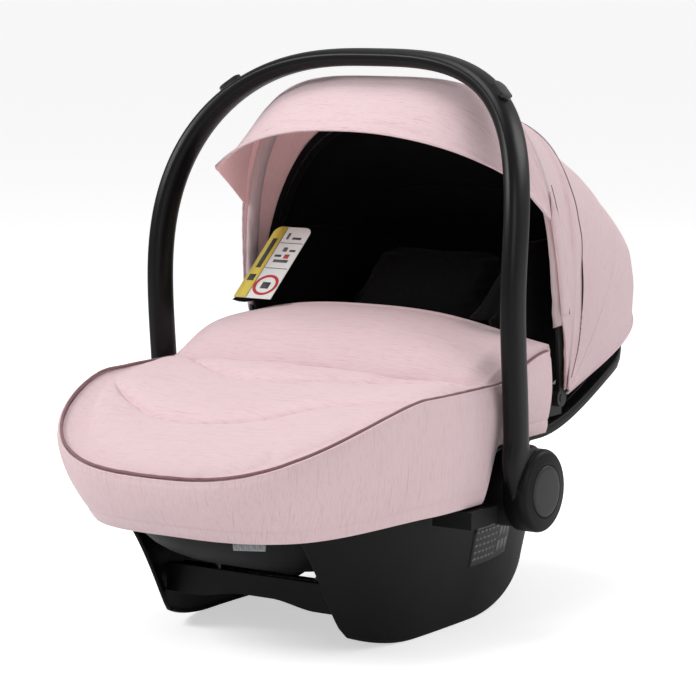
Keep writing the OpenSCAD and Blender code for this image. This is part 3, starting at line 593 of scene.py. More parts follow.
pink = melange_cloth("pink_melange", (0.79, 0.60, 0.625), (0.58, 0.36, 0.385), 0.42)
# Inner face of hood and visor: the same cloth in a warmer salmon tone with a faint emission glow, painted
# light standing in for light shining through the cloth
pink_shaded = melange_cloth("pink_melange_painted_backlight", (0.86, 0.54, 0.54), (0.62, 0.34, 0.35), 0.4, glow=0.10)
pink_satin = melange_cloth("pink_sleeve", (0.62, 0.48, 0.49), (0.40, 0.29, 0.30), 0.4, sheen=0.6)
rose_piping = melange_cloth("rose_piping", (0.26, 0.13, 0.145), (0.15, 0.07, 0.08), 0.5, mapped=False)
black_cloth = dark_cloth("black_lining", (0.003, 0.003, 0.0035), (0.008, 0.008, 0.009), sheen=0.03)
black_padding = dark_cloth("black_padding", (0.0018, 0.0018, 0.002), (0.005, 0.005, 0.0055), 500.0, 0.02)
black_webbing = dark_cloth("black_webbing", (0.012, 0.012, 0.013), (0.04, 0.04, 0.042), 350.0)
grey_webbing = dark_cloth("grey_webbing", (0.16, 0.17, 0.18), (0.36, 0.37, 0.38), 350.0)
# Dark rose for seam lines and stitch lines: painted shadow along the seams
seam_shadow = melange_cloth("seam_painted_shadow", (0.25, 0.15, 0.16), (0.15, 0.09, 0.10), 0.3, mapped=False)
handle_black = moulded("handle_black", (0.0042, 0.0042, 0.0046), (0.012, 0.012, 0.013), 0.33, 0.1, 1200.0,
                       0.00004, gloss=0.2)
hub_black = moulded("hub_black", (0.0045, 0.0045, 0.005), (0.014, 0.014, 0.015), 0.42, 0.12, 1000.0, 0.00006,
                    gloss=0.16)
shell_black = moulded("shell_black", (0.0045, 0.0045, 0.005), (0.013, 0.013, 0.014), 0.46, 0.2, 700.0,
                      0.00015, gloss=0.16)
button_black = moulded("button_black", (0.010, 0.010, 0.010), (0.03, 0.03, 0.03), 0.16, 0.06, 900.0, 0.00002,
                       0.5)
badge_grey = moulded("badge_grey", (0.024, 0.023, 0.025), (0.05, 0.05, 0.052), 0.4, 0.1, 1400.0, 0.00004)
buckle_red = moulded("buckle_red", (0.42, 0.016, 0.012), (0.55, 0.06, 0.05), 0.3, 0.1)
bow_black = moulded("bow_black", (0.012, 0.012, 0.012), (0.03, 0.03, 0.03), 0.45)
steel = metal("zinc_steel", (0.55, 0.56, 0.58), 0.3)
foam_grey = moulded("foam_beads", (0.72, 0.72, 0.71), (0.8, 0.8, 0.79), 0.75, 0.1, 220.0, 0.0006)
label_white = printed("label_white", (0.80, 0.80, 0.78), (0.85, 0.85, 0.83))
label_yellow = printed("label_yellow", (0.85, 0.66, 0.05), (0.9, 0.75, 0.2))
label_red = printed("label_red", (0.55, 0.03, 0.03), (0.6, 0.1, 0.1))
label_ink = printed("label_ink", (0.06, 0.06, 0.06), (0.1, 0.1, 0.1))
label_dark = printed("label_dark", (0.022, 0.022, 0.024), (0.04, 0.04, 0.04), 0.35)
label_mark = printed("label_mark", (0.09, 0.09, 0.09), (0.2, 0.2, 0.2), 0.4)


# ---- Camera, floor and lights ----

def make_studio():
    scene = bpy.context.scene
    lens = bpy.data.cameras.new("studio_camera")
    lens.lens = 144.9
    lens.sensor_width = 36
    lens.clip_end = 800
    camera = put_in_scene("studio_camera", lens)
    camera.location = (1.558, -2.340, 0.641)
    target = Vector((0.0, -0.008, 0.271))
    camera.rotation_euler = (target - camera.location).to_track_quat("-Z", "Y").to_euler()
    scene.camera = camera

    bm = bmesh.new()
    bmesh.ops.create_grid(bm, x_segments=1, y_segments=1, size=300)
    mesh = bpy.data.meshes.new("studio_floor")
    bm.to_mesh(mesh)
    bm.free()
    white, tree, shader = new_material("studio_white", {"Base Color": (0.9, 0.9, 0.9, 1), "Roughness": 0.9,
                                                        "Emission Color": (1, 1, 1, 1)})
    seen = add(tree, "ShaderNodeLightPath")
    tree.links.new(math_node(tree, "MULTIPLY", seen.outputs["Is Camera Ray"], 0.55),
                   shader.inputs["Emission Strength"])
    mesh.materials.append(white)
    put_in_scene("studio_floor", mesh)

    world = bpy.data.worlds.new("studio_air")
    world.use_nodes = True
    world.node_tree.nodes["Background"].inputs["Color"].default_value = (1, 1, 1, 1)
    world.node_tree.nodes["Background"].inputs["Strength"].default_value = 0.42
    scene.world = world
    for name, place, size, power in (
            ("key_softbox", (-1.7, -2.2, 2.2), 1.1, 50),
            ("top_softbox", (-0.3, 0.1, 2.7), 1.4, 24),
            ("side_softbox", (2.8, -0.6, 1.4), 1.6, 18),
            ("rim_softbox", (1.6, 2.4, 1.8), 1.2, 18)):
        glow = bpy.data.lights.new(name, "AREA")
        glow.shape = "SQUARE"
        glow.size = size
        glow.energy = power
        lamp = put_in_scene(name, glow)
        lamp.location = place
        lamp.rotation_euler = (Vector((0, 0, 0.3)) - lamp.location).to_track_quat("-Z", "Y").to_euler()
    scene.view_settings.view_transform = "Standard"


make_studio()


# ---- Shell and base ----

def make_bucket_shell():
    """The moulded bucket with its rolled rim, from the floor up, over the rim and down inside."""
    levels = (0.0, 0.06, 0.12, 0.2, 0.3, 0.4, 0.5, 0.6, 0.7, 0.78, 0.85, 0.92)
    rim = [(1, 0, -13), (1, -0.5, -11.5), (1, -7, -10.8), (1, -8, -9.6), (1, -8, -2.2), (1, -7.6, -0.8),
           (1, -6.2, 0), (1, 5, 0), (1, 6, -0.8), (0.985, 4.4, 0)]
    stations = [(s, 0, 0) for s in levels] + rim + [(s, SHELL_WALL, 0) for s in reversed(levels)]

    def place(u, v):
        s, off, lift = stations[round(v * (len(stations) - 1))]
        return cup_point(s, off, 360 * u, lift)

    bm = laid_grid(place, (128, len(stations) - 1), (1800, 600), seam=True, ends=True)
    finish_piece("moulded_bucket", bm, [shell_black], ["bucket_shell"], crease=50)


def make_rocker_base():
    """The rocking base's wall: U-shaped in plan and open at the front, with soft edges."""
    def place(u, v):
        end = 52.6 + 13.5 * v ** 0.6
        return base_point(lerp(-end, 180 + end, u), v, 0)

    bm = laid_grid(place, (150, 20), (1000, 130))
    made = finish_piece("rocking_base", bm, [shell_black], ["rocker_base"])
    thicken(made, BASE_WALL)
    soften(made, 1.2, 3, 50)

    def lip(u, v):
        end = 52.6
        angle = 360 * v
        low = base_point(lerp(-end, 180 + end, u), 0, 2 + 2.6 * cos(angle))
        return low[0], low[1], low[2] + 2.2 + 2.1 * sin(angle)

    bm = laid_grid(lip, (150, 12), (1000, 20), seam=True, ends=True)
    finish_piece("base_foot_bead", bm, [shell_black])


def make_cross_walls():
    """The two arched cross walls, their edges rounded."""
    for node, name in (("front_cross_wall", "front_arch_wall"), ("rear_cross_wall", "rear_arch_wall")):
        bm = copied_node(node)
        made = finish_piece(name, bm, [shell_black], [node], crease=30)
        soften(made, 0.9, 3, 60)


def make_data_label():
    """A dark label on the base's right-hand wall, with plain bars and boxes for print."""
    def on_wall(y, t, off):
        return base_point(math.degrees(math.atan2(y + 30, 150)), t, off)

    def patch(y0, y1, t0, t1, off, cells):
        return laid_grid(lambda u, v: on_wall(lerp(y0, y1, u), lerp(t0, t1, v), off), cells, (84, 40))

    sticker = finish_piece("data_sticker", patch(8, 92, 0.42, 0.7, -0.5, (14, 6)), [label_dark],
                           ["data_label"])
    thicken(sticker, 0.4)
    bars = []
    for row in range(5):
        t = 0.66 - 0.05 * row
        y = 12.0
        while y < 60:
            step = 5 + 5 * abs(noise.noise(Vector((row * 3.7, y * 0.31, 0.2))))
            bars.append((y, min(y + step, 61), t, t + 0.017))
            y += step + 2.2
    for column in range(3):
        for row in range(2):
            y, t = 64 + 9 * column, 0.47 + 0.11 * row
            bars.append((y, y + 7, t, t + 0.075))
    marks = finish_piece("data_sticker_marks", joined(patch(*bar, -0.7, (3, 1)) for bar in bars),
                         [label_mark])
    thicken(marks, 0.15)


# ---- Handle ----

def make_handle():
    """The carrying handle in one smooth sweep from hub to hub, with the parting line of its halves."""
    half_depth, half_t = 17, 9.15
    arch_low, arch_high = 0.235, 0.765

    def path(s):
        if s > 0.5:
            x, y, z = path(1 - s)
            return -x, y, z
        if s < arch_low:
            t = s / arch_low
            z = lerp(150, WIDE_Z, t)
            return LEG_X, handle_y(z) + 24 * (1 - ease(150, 190, z)) ** 1.3, z
        u = 180 * (s - arch_low) / (arch_high - arch_low)
        x, h = oval(LEG_X, GRIP_Z - WIDE_Z, HANDLE_N, u)
        z = WIDE_Z + h
        return x, handle_y(z), z

    def section(s, angle):
        if angle is None:
            return 0, 1, 0
        near = min(s, 1 - s) / arch_low
        widen = 17 * (1 - ease(0.02, 0.27, near))
        a, b = oval(half_depth + widen, half_t, 2.45, angle)
        groove = 0.45 * ridge_at(b, 0, 0.55)
        return a * (1 - groove / (half_depth + widen)), b

    bm = sweep(path, section, (260, 56))
    finish_piece("carrying_handle", bm, [handle_black], ["handle_outer", "handle_inner"], "handle", crease=60)


def make_release_button(side):
    """A glossy button on the handle's shoulder, with rounded edges."""
    name = "right" if side > 0 else "left"
    node = "release_button_" + name
    bm = copied_node(node)
    centre = middle(bm)
    up = max((f for f in bm.faces), key=lambda f: (f.normal * f.calc_area()).z).normal.copy()
    for vert in bm.verts:
        if (vert.co - centre).dot(up) > 0:
            vert.co += up * 1.2 * MM
    made = finish_piece("thumb_button_" + name, bm, [button_black], [node], "release_" + name, crease=40)
    soften(made, 1.3, 4, 40)


def make_hub(side):
    """Round hub cover with a rolled edge, a shallow groove and a plain badge."""
    name = "right" if side > 0 else "left"
    low, high = hub_low.x, hub_high.x
    profile = [(33, low + 0.4), (HUB_R - 1.2, low), (HUB_R, low + 1.2), (HUB_R, high - 7)]
    profile += [(HUB_R - 6 + 6 * cos(a), high - 7 + 6 * sin(a)) for a in range(10, 90, 10)]
    profile += [(29.5, high - 0.6), (28, high - 0.2), (26.8, high - 0.2), (26.1, high - 0.6),
                (26, high - 2.2), (0.01, high - 2.2)]
    bm = lathe([(r, side * x) for r, x in profile], (0, 0, HUB_Z))
    finish_piece("hub_cap_" + name, bm, [hub_black], ["hub_cover_" + name], "handle", crease=50)
    badge = [(25.5, high - 2.1), (25.5, high - 0.4), (25.1, high + 0.5), (24.2, high + 0.9),
             (20, high + 1.2), (0.01, high + 1.5)]
    bm = lathe([(r, side * x) for r, x in badge], (0, 0, HUB_Z))
    finish_piece("plain_badge_" + name, bm, [badge_grey], ["hub_badge_" + name], "handle", crease=50)


# ---- Canopy ----

def front_panel_point(share, across, off):
    """Front canopy panel: share runs over the arch, across from the front bow to the mid bow."""
    u = lerp(ARCH_END, 180 - ARCH_END, share)
    height = canopy_point(u, FRONT_LEAN, 0)[2]
    lead = lerp(3.5, 0, ease(275, 305, height))
    v = lerp(FRONT_LEAN + lead, MID_LEAN, across)
    rise = ease(0, 0.12, across) * (1 - ease(0.9, 1, across))
    x, y, z = canopy_point(u, v, 0)
    crown = ease(330, 420, z)
    sag = rise * (2.6 * crown + 0.8) - 1.2 * crown * ripple(x, y, z, 46, 3.0) * rise
    pleat = 0.9 * ripple(x * 0.35, y * 0.8 + 1.5 * z, 0, 17, 9.0) * rise
    ridge = -1.1 * ridge_at(across, 0.07, 0.035)
    stitch = 0.7 * ridge_at(across, 0.13, 0.012)
    return canopy_point(u, v, off + sag + pleat + ridge + stitch)


def make_canopy_front():
    """Pink panel between the two bows, shaded pink inside."""
    bm = laid_grid(lambda a, b: front_panel_point(a, b, 0.4), (220, 30), (900, 90), flip=True)
    made = finish_piece("hood_front_panel", bm, [pink, pink_shaded], ["canopy_front_panel"], None)
    thicken(made, 1.4, inner=1, offset=-1)
    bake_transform(made)


def rear_panel_point(share, across, off):
    """Rear canopy panel: share runs over the arch, across from the mid bow to the rear hem."""
    u = lerp(ARCH_END, 180 - ARCH_END, share)
    v = lerp(MID_LEAN, HEM_LEAN, across)
    x, y, z = canopy_point(u, v, 0)
    rise = ease(0, 0.1, across) * (1 - ease(0.88, 1, across))
    side = ease(0.0, 0.2, share) * (1 - ease(0.8, 1.0, share))
    sag = 3.2 * ridge_at(across, 0.16, 0.13) * side
    folds = 1.7 * ripple(x, y * 0.6, z, 75, 1.7) * rise + 0.7 * ripple(x, y, z, 24, 5.0) * rise
    ridge = -1.3 * ridge_at(across, 0.02, 0.012)
    middle_seam = 1.1 * ridge_at(across, 0.52, 0.006)
    hem = 0.8 * ridge_at(across, 0.94, 0.006)
    return canopy_point(u, v, off + sag + folds + ridge + middle_seam + hem)


def make_canopy_rear():
    """Pink panel behind the mid bow, with its black lining as the inner face."""
    bm = laid_grid(lambda a, b: rear_panel_point(a, b, 0.4), (220, 150), (880, 300), flip=True)
    made = finish_piece("hood_rear_panel", bm, [pink, black_cloth], ["canopy_rear_panel"], None)
    thicken(made, 1.6, inner=1, offset=-1)
    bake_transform(made)


# Height above the hinges and lean of the hood's side seam
SIDE_SEAM = [(10, 27.5), (45, 26.5), (77, 23.8), (123, 20), (158, 17.6), (190, 14.6), (240, 11.4),
             (300, 10.9)]


def side_seam_share(h):
    """Share across the rear panel of its side seam, at height h above the hinges."""
    return (through(SIDE_SEAM, h) - MID_LEAN) / (HEM_LEAN - MID_LEAN)


def make_side_seams():
    """Curved seam behind each mid bow, with a dark vent slit and ladder stitches below it."""
    for side, name in ((1, "right"), (-1, "left")):
        def on_seam(share, forward, off):
            u = lerp(ARCH_END, 180 - ARCH_END, share)
            h = canopy_point(u, 20, 0)[2] - FOLD_Z
            x, y, z = rear_panel_point(share, side_seam_share(h) + forward / 300, off)
            return side * x, y, z

        def line(u, v):
            angle = 360 * v
            return on_seam(lerp(0.02, 0.38, u), 0.55 * cos(angle), -0.1 - 0.45 * sin(angle))

        def slit(u, v):
            swell = sin(180 * u) ** 0.5
            off = -0.6 - 0.5 * sin(180 * v) * swell
            return on_seam(lerp(0.127, 0.20, u), lerp(-3.4, 2.4, v) * swell, off)

        # The seam line and the ladder stitches take seam_shadow: painted shadow along the seam
        bm = laid_grid(line, (180, 6), (300, 3), seam=True)
        seam = finish_piece("hood_side_seam_" + name, bm, [seam_shadow], body=None)
        bm = laid_grid(slit, (30, 6), (60, 5), flip=side > 0)
        vent = finish_piece("hood_vent_slit_" + name, bm, [black_cloth], body=None)

        def tick(share):
            def stitch(u, v):
                angle = 360 * v
                return on_seam(share + 0.0009 * cos(angle), lerp(-2.6, 2.6, u), -0.2 - 0.5 * sin(angle))

            return laid_grid(stitch, (4, 6), (5, 2), seam=True)

        ladder = finish_piece("hood_ladder_stitches_" + name,
                              joined(tick(0.052 + 0.0085 * k) for k in range(9)), [seam_shadow], body=None)
        for piece in (seam, vent, ladder):
            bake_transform(piece)


def make_visor():
    """Soft peak in front of the hood, with a bound edge."""
    def place(a, b):
        w, t = lerp(-1, 1, a), b
        x, y, z = visor_point(w, t, 0)
        free = ease(0, 0.15, t) * (1 - ease(0.93, 1, t))
        wrinkle = 1.6 * ripple(x, y * 1.6, z, 48, 6.0) * free
        near_root = ridge_at(t, 0, 0.22) * ease(0, 0.05, t)
        wrinkle += 1.5 * ripple(0.5 * x + z, 1.2 * y, 0, 15, 2.0) * near_root
        edge = 1.1 * ridge_at(t, 0.9, 0.02) - 1.0 * ridge_at(t, 0.96, 0.03)
        return visor_point(w, t, wrinkle + edge)

    bm = laid_grid(place, (190, 56), (440, 75), flip=True)
    # Underside in pink_shaded: salmon tone and faint glow, painted light for light coming through the cloth
    made = finish_piece("hood_visor", bm, [pink, pink_shaded], ["visor"], "canopy_front")
    thicken(made, 2.2, inner=1, offset=-1)
    soften(made, 0.8, 3, 50)


def make_bow_sleeves():
    """Ruched sleeves round the two bows: pink round the front one, black round the mid one."""
    for name, node, lean, depth, half_t, half_w, ends, material, size in (
            ("front_bow_sleeve", "canopy_front", FRONT_LEAN + 2.6, 6.6, 5.2, 8.0, 0.105, pink_satin, 1.0),
            ("mid_bow_sleeve", "canopy_mid", MID_LEAN + 0.4, 8.4, 5.2, 8.6, 0.03, black_cloth, 0.7)):
        def place(u, v):
            arch = lerp(ARCH_END, 180 - ARCH_END, lerp(ends, 1 - ends, u))
            angle = 360 * v
            x, y, z = canopy_point(arch, lean, depth)
            low = 1 - ease(380, 430, z)
            ruche = ripple(150 * u, 5 * cos(angle), 5 * sin(angle) + 40 * u, 4.5, 8.0)
            gather = size * (0.25 + 0.75 * low) * ruche
            inside = 0.65 - 0.35 * sin(angle)
            a = (half_w + 1.4 * gather * inside) * cos(angle)
            turn = math.degrees(a / max(math.hypot(y - FOLD_Y, z - FOLD_Z), 30))
            return canopy_point(arch, lean + turn, depth - (half_t + 0.8 * gather * inside) * sin(angle))

        bm = laid_grid(place, (320, 24), (800, 46), seam=True, ends=True)
        finish_piece(name, bm, [material], body=node)


def make_edge_bands():
    """Gathered band over the front edge of the hood on each side, with its stitch line."""
    for side, name in ((1, "right"), (-1, "left")):
        def at(share, shift, out):
            u = lerp(ARCH_END, 180 - ARCH_END, share)
            x, y, z = canopy_point(u, FRONT_LEAN, 0)
            lead = lerp(3.5, 0, ease(275, 305, z))
            turn = math.degrees(shift / math.hypot(y - FOLD_Y, z - FOLD_Z))
            x, y, z = canopy_point(u, FRONT_LEAN + lead + turn, -out)
            return side * x, y, z

        def band(u, v):
            share = lerp(0.118, 0.262, u)
            angle = 360 * v
            scallop = 1.2 * ripple(140 * u, 0, 0, 9, 2.0 + side)
            width = 8.0 * (0.75 + 0.25 * ease(0, 0.06, u)) * (1 - 0.8 * ease(0.8, 1, u))
            shift = 6.2 + scallop * (cos(angle) < 0) * -cos(angle) + width * cos(angle)
            soft = 0.5 * ripple(90 * u, 3 * v, 0, 6, 7.0)
            return at(share, shift, 0.4 + (2.2 + soft) * sin(angle) * (1 - 0.6 * ease(0.8, 1, u)))

        def stitch(u, v):
            angle = 360 * v
            return at(lerp(0.118, 0.27, u), 15.6 + 0.4 * cos(angle), -0.2 + 0.45 * sin(angle))

        bm = laid_grid(band, (110, 20), (16, 150), seam=True, ends=True)
        finish_piece("hood_edge_band_" + name, bm, [pink], body="canopy_front")
        # The stitch line takes seam_shadow: painted shadow along the seam
        bm = laid_grid(stitch, (90, 6), (150, 3), seam=True)
        line = finish_piece("hood_edge_stitching_" + name, bm, [seam_shadow], body=None)
        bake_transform(line)


def make_hem_binding():
    """Folded binding round the rear hem of the hood."""
    def place(u, v):
        arch = lerp(ARCH_END, 180 - ARCH_END, u)
        angle = 360 * v
        return canopy_point(arch, HEM_LEAN - 1.0 + 1.15 * cos(angle), 1.1 - 1.9 * sin(angle))

    bm = laid_grid(place, (160, 10), (880, 20), seam=True, ends=True)
    finish_piece("hood_hem_binding", bm, [pink])


# ---- Foot cover ----

# Plan curves of the two quilting seams: distance from the left to the right, and place along the seat
SEAM_FRONT = [(-195, -140), (-156, -184), (-116, -207), (-72, -221), (-20, -219), (24, -202), (75, -167),
              (123, -150), (195, -150)]
SEAM_REAR = [(-195, -48), (-131, -81), (-92, -97), (-45, -108), (-7, -104), (49, -91), (110, -80), (195, -76)]


def quilting(x, y):
    """Distance from the nearest quilting seam, in millimetres."""
    front = abs(y - through(SEAM_FRONT, x)) * 0.86
    rear = abs(y - through(SEAM_REAR, x)) * 0.9
    return min(front, rear)


def boot_top_point(share, across):
    """Padded top of the foot cover, from the foot tip to the crease under the chest flap."""
    edge_in = 4.4
    y = lerp(edge_in + 0.6 - HALF_LEN, 4 - CREASE_Y, across ** 1.5)
    half_w = top_half_w(y, edge_in)
    x = half_w * sin(lerp(-90, 90, share))
    z = top_z(x, y)
    plan = math.hypot(x / (COVER_W - edge_in), min(y - COVER_YC, 0) / (HALF_LEN + COVER_YC - edge_in))
    from_edge = max((1 - plan) * 150, (half_w - abs(x)) * 0.6 if y > COVER_YC else 0)
    seam = quilting(x, y)
    puff = 11 * (1 - math.exp(-from_edge / 12)) * (1 - 0.7 * math.exp(-seam / 8))
    groove = -3.4 * ridge_at(seam, 0, 1.6) * ease(4, 14, from_edge)
    pucker = 1.7 * ripple(x, y * 0.22, 0, 11, 4.0) * math.exp(-seam / 14)
    around = math.degrees(math.atan2(y - COVER_YC, x)) * 3.4
    gather_zone = math.exp(-from_edge / 17) * (1 - math.exp(-from_edge / 2.5))
    front = ease(120, 230, -y)
    gathers = 3.6 * ripple(around, 0.1 * from_edge, 0, 11, 7.0) * gather_zone * lerp(0.2, 1, front)
    broad = 3.0 * ripple(x, y, 0, 75, 2.2) * (1 - math.exp(-from_edge / 25))
    streaks = 0.5 * ripple(x * 0.5, y, 0, 22, 11.0)
    tuck = -11 * ease(-16, 0, y - (4 - CREASE_Y)) * ease(2, 16, from_edge)
    return x, y, z - 1.5 + puff + groove + pucker + gathers + broad + streaks + tuck


def make_boot_top():
    """The foot cover's quilted top with its wadding."""
    bm = laid_grid(boot_top_point, (200, 180), (380, 290))
    made = finish_piece("boot_quilted_top", bm, [pink], ["boot_top"])
    thicken(made, 4.0)


def make_boot_skirt():
    """Side wall of the foot cover, with a turned hem and soft dimples."""
    def place(s, t):
        x, y = cover_edge(s, 0)
        ex, ey = x / COVER_W, min(y - COVER_YC, 0) / HALF_LEN
        size = math.hypot(ex, ey)
        ex, ey = ex / size, ey / size
        top, low = seam_at(y) - 1.0, hem_at(y)
        tuck = lerp(TUCK_SIDE, TUCK_FOOT, ease(130, 300, -y)) * (1 - t) ** 1.5
        belly = 3.2 * sin(180 * t) * (1 - 0.5 * ease(150, 300, -y))
        z = lerp(low, top, t)
        dents = 2.3 * ripple(x, y, z, 70, 12.0) + 0.9 * ripple(x, y, 0.4 * z, 26, 15.0)
        edge = 1.3 * ridge_at(z - top, -1.5, 4)
        hem = 0.9 * ridge_at(z - low, 13, 1.1) - 0.8 * ridge_at(z - low, 5, 5)
        off = tuck - belly - dents * sin(180 * clamp(t)) + edge + hem
        return x - ex * off, y - ey * off, z

    bm = laid_grid(place, (420, 60), (1150, 110))
    cloth_map = bm.loops.layers.uv.active
    for face in bm.faces:
        for loop in face.loops:
            loop[cloth_map].uv = loop[cloth_map].uv.yx
    bmesh.ops.recalc_face_normals(bm, faces=bm.faces)
    made = finish_piece("boot_skirt_wall", bm, [pink], ["boot_skirt"])
    thicken(made, 2.4, offset=0)
    soften(made, 0.7, 2, 60)


def make_boot_piping():
    """Rose piping in the seam between the foot cover's top and its skirt."""
    def path(s):
        x, y = cover_edge(s, 3.2)
        return x, y, seam_at(y) - 0.5 + 0.35 * ripple(x, y, 0, 12, 1.0)

    def section(s, angle):
        if angle is None:
            return 0, 0, 1
        return PIPING_R * cos(angle), PIPING_R * sin(angle)

    bm = sweep(path, section, (420, 10))
    finish_piece("boot_piping_cord", bm, [rose_piping], ["boot_piping"])


def make_chest_flap():
    """Padded flap that rises over the lap, rounded over its top edge and closed at its sides."""
    half_w = COVER_W - 3.5
    face = 0.82

    def place(a, b):
        side = lerp(-90, 90, a)
        x = half_w * sin(side)
        t = clamp(b / face)
        top = lerp(FLAP_Z, SEAM_REAR_Z + 4, (abs(x) / half_w) ** 2.6)
        low = top_z(x, -CREASE_Y)
        y = lerp(-CREASE_Y - 2, lerp(30, COVER_REAR, (abs(x) / half_w) ** 7), t)
        z = lerp(low - 5, top, sin(90 * t))
        inner = ease(0, 22, half_w - abs(x))
        puff = 12 * sin(180 * t ** 0.55) * inner
        across = ripple(0.45 * x + 1.1 * z, 0.5 * y, 0, 30, 23.0)
        across += 0.7 * ripple(0.5 * x - 0.9 * z, y, 9, 42, 3.0)
        broad = (3.4 * ripple(x, y * 1.5, z, 95, 21.0) + 2.2 * across) * sin(180 * t ** 0.7) * inner
        gather = 1.6 * ripple(x, 0.2 * z, 0, 12, 19.0) * math.exp(-t / 0.2) * inner
        out = puff + broad + gather
        lean = lerp(0.35, 0.8, t)
        if b > face:
            roll = (b - face) / (1 - face)
            y += 9 * sin(90 * min(2 * roll, 1))
            z += 2 * sin(180 * min(2 * roll, 1)) - 34 * max(roll - 0.2, 0)
            return x * (1 - 0.02 * roll), y, max(z, seam_at(y) - 4 if inner < 0.3 else 0)
        y, z = y - math.sqrt(1 - lean * lean) * out, z + lean * out
        closed = 1 - ease(0, 5, half_w - abs(x))
        return x, y, lerp(z, min(z, seam_at(y) - 0.5), closed)

    bm = laid_grid(place, (220, 100), (400, 150))
    made = finish_piece("chest_cover_flap", bm, [pink], ["chest_flap"])
    thicken(made, 3.0)


# ---- Seat ----

def lining_piece(name, off_out, off_in, top, material, node, puff=0.0):
    """A lining that follows the bucket, open at the top."""
    shares = [0.93 * k / 16 for k in range(17)] + [top]
    stations = [(s, off_out) for s in shares] + [(top, (off_out + off_in) / 2 - 1)]
    stations += [(s, off_in) for s in reversed(shares)]

    def place(u, v):
        s, off = stations[round(v * (len(stations) - 1))]
        soft = puff * abs(sin(540 * u)) ** 0.5 * sin(180 * s) if off == off_in else 0
        return cup_point(s, off + soft, 360 * u)

    bm = laid_grid(place, (108, len(stations) - 1), (1500, 500), seam=True, ends=True)
    return finish_piece(name, bm, [material], [node])


def make_seat():
    """Foam liner and the padded cover over it."""
    lining_piece("foam_shell", 8.5, 27.5, 0.93, foam_grey, "foam_liner")
    cover = lining_piece("seat_cover", 29.5, 36.5, 0.96, black_padding, "seat_liner", 2.5)


def make_headrest():
    """U-shaped padded headrest with leaning wings."""
    def plan(u, off):
        a, lead = WING_HALF_W + off, (WING_YC - WING_Y) / 38
        if u < 0:
            return a, WING_YC + u * lead
        if u > 180:
            return -a, WING_YC - (u - 180) * lead
        x, y = oval(a, HEAD_REAR - WING_YC + off, 3, u)
        return x, y + WING_YC

    def place(s, t):
        u = lerp(-38, 218, s)
        angle = 360 * t
        a, b = oval(WING_T / 2, 1, 3.2, angle)
        x, y = plan(u, WING_T / 2 + a * (1 - 0.05 * abs(b)))
        low, high = wing_base(y), wing_rise(y)
        z = (low + high) / 2 + (high - low) / 2 * b
        return x, y, z + 0.6 * ripple(x, y, z, 30, 31.0)

    bm = laid_grid(place, (110, 28), (900, 200), seam=True, ends=True)
    made = finish_piece("padded_headrest", bm, [black_padding], ["headrest"])


def inflate(piece, voxel, most, frames=18, pressure=3.5):
    """Swells a closed cushion with a short cloth simulation, by at most most millimetres."""
    scene = bpy.context.scene
    with bpy.context.temp_override(object=piece, active_object=piece, selected_objects=[piece]):
        remesh = piece.modifiers.new("voxels", "REMESH")
        remesh.mode = "VOXEL"
        remesh.voxel_size = voxel * MM
        bpy.ops.object.modifier_apply(modifier="voxels")
        before = [v.co.copy() for v in piece.data.vertices]
        cloth = piece.modifiers.new("Cloth", "CLOTH")
        cloth.settings.use_pressure = True
        cloth.settings.uniform_pressure_force = pressure
        cloth.settings.effector_weights.gravity = 0
        cloth.settings.tension_stiffness = 20
        cloth.settings.compression_stiffness = 12
        cloth.settings.bending_stiffness = 0.6
        cloth.point_cache.frame_start = 1
        cloth.point_cache.frame_end = frames
        for step in range(1, frames + 1):
            scene.frame_set(step)
        shaped = piece.evaluated_get(bpy.context.evaluated_depsgraph_get())
        after = [v.co.copy() for v in shaped.data.vertices]
        piece.modifiers.remove(cloth)
    scene.frame_set(1)
    for vert, old, new in zip(piece.data.vertices, before, after):
        move = new - old
        if move.length > most * MM:
            move *= most * MM / move.length
        vert.co = old + move
    piece.data.shade_smooth()
    subdivide(piece, 1)


def make_cushions():
    """Infant insert and head cushion, swollen from slightly smaller CAD shapes, and strap and buckle pads
    with softened edges.
    """
    for node, name, shrink in (("seat_insert", "infant_insert", 0.96), ("head_cushion", "head_pillow", 0.95)):
        bm = copied_node(node)
        centre = middle(bm)
        for vert in bm.verts:
            vert.co = centre + (vert.co - centre) * shrink
        made = finish_piece(name, bm, [black_padding], [node])
        inflate(made, 5, 6)
    for side in ("left", "right"):
        bm = copied_node("shoulder_pad_" + side)
        made = finish_piece("strap_pad_" + side, bm, [black_padding], ["shoulder_pad_" + side])
        soften(made, 1.6, 3, 30)
    bm = copied_node("crotch_pad")
    made = finish_piece("buckle_pad", bm, [black_padding], ["crotch_pad"], crease=40)
    soften(made, 2.0, 3, 40)


# ---- Tag and strap ----

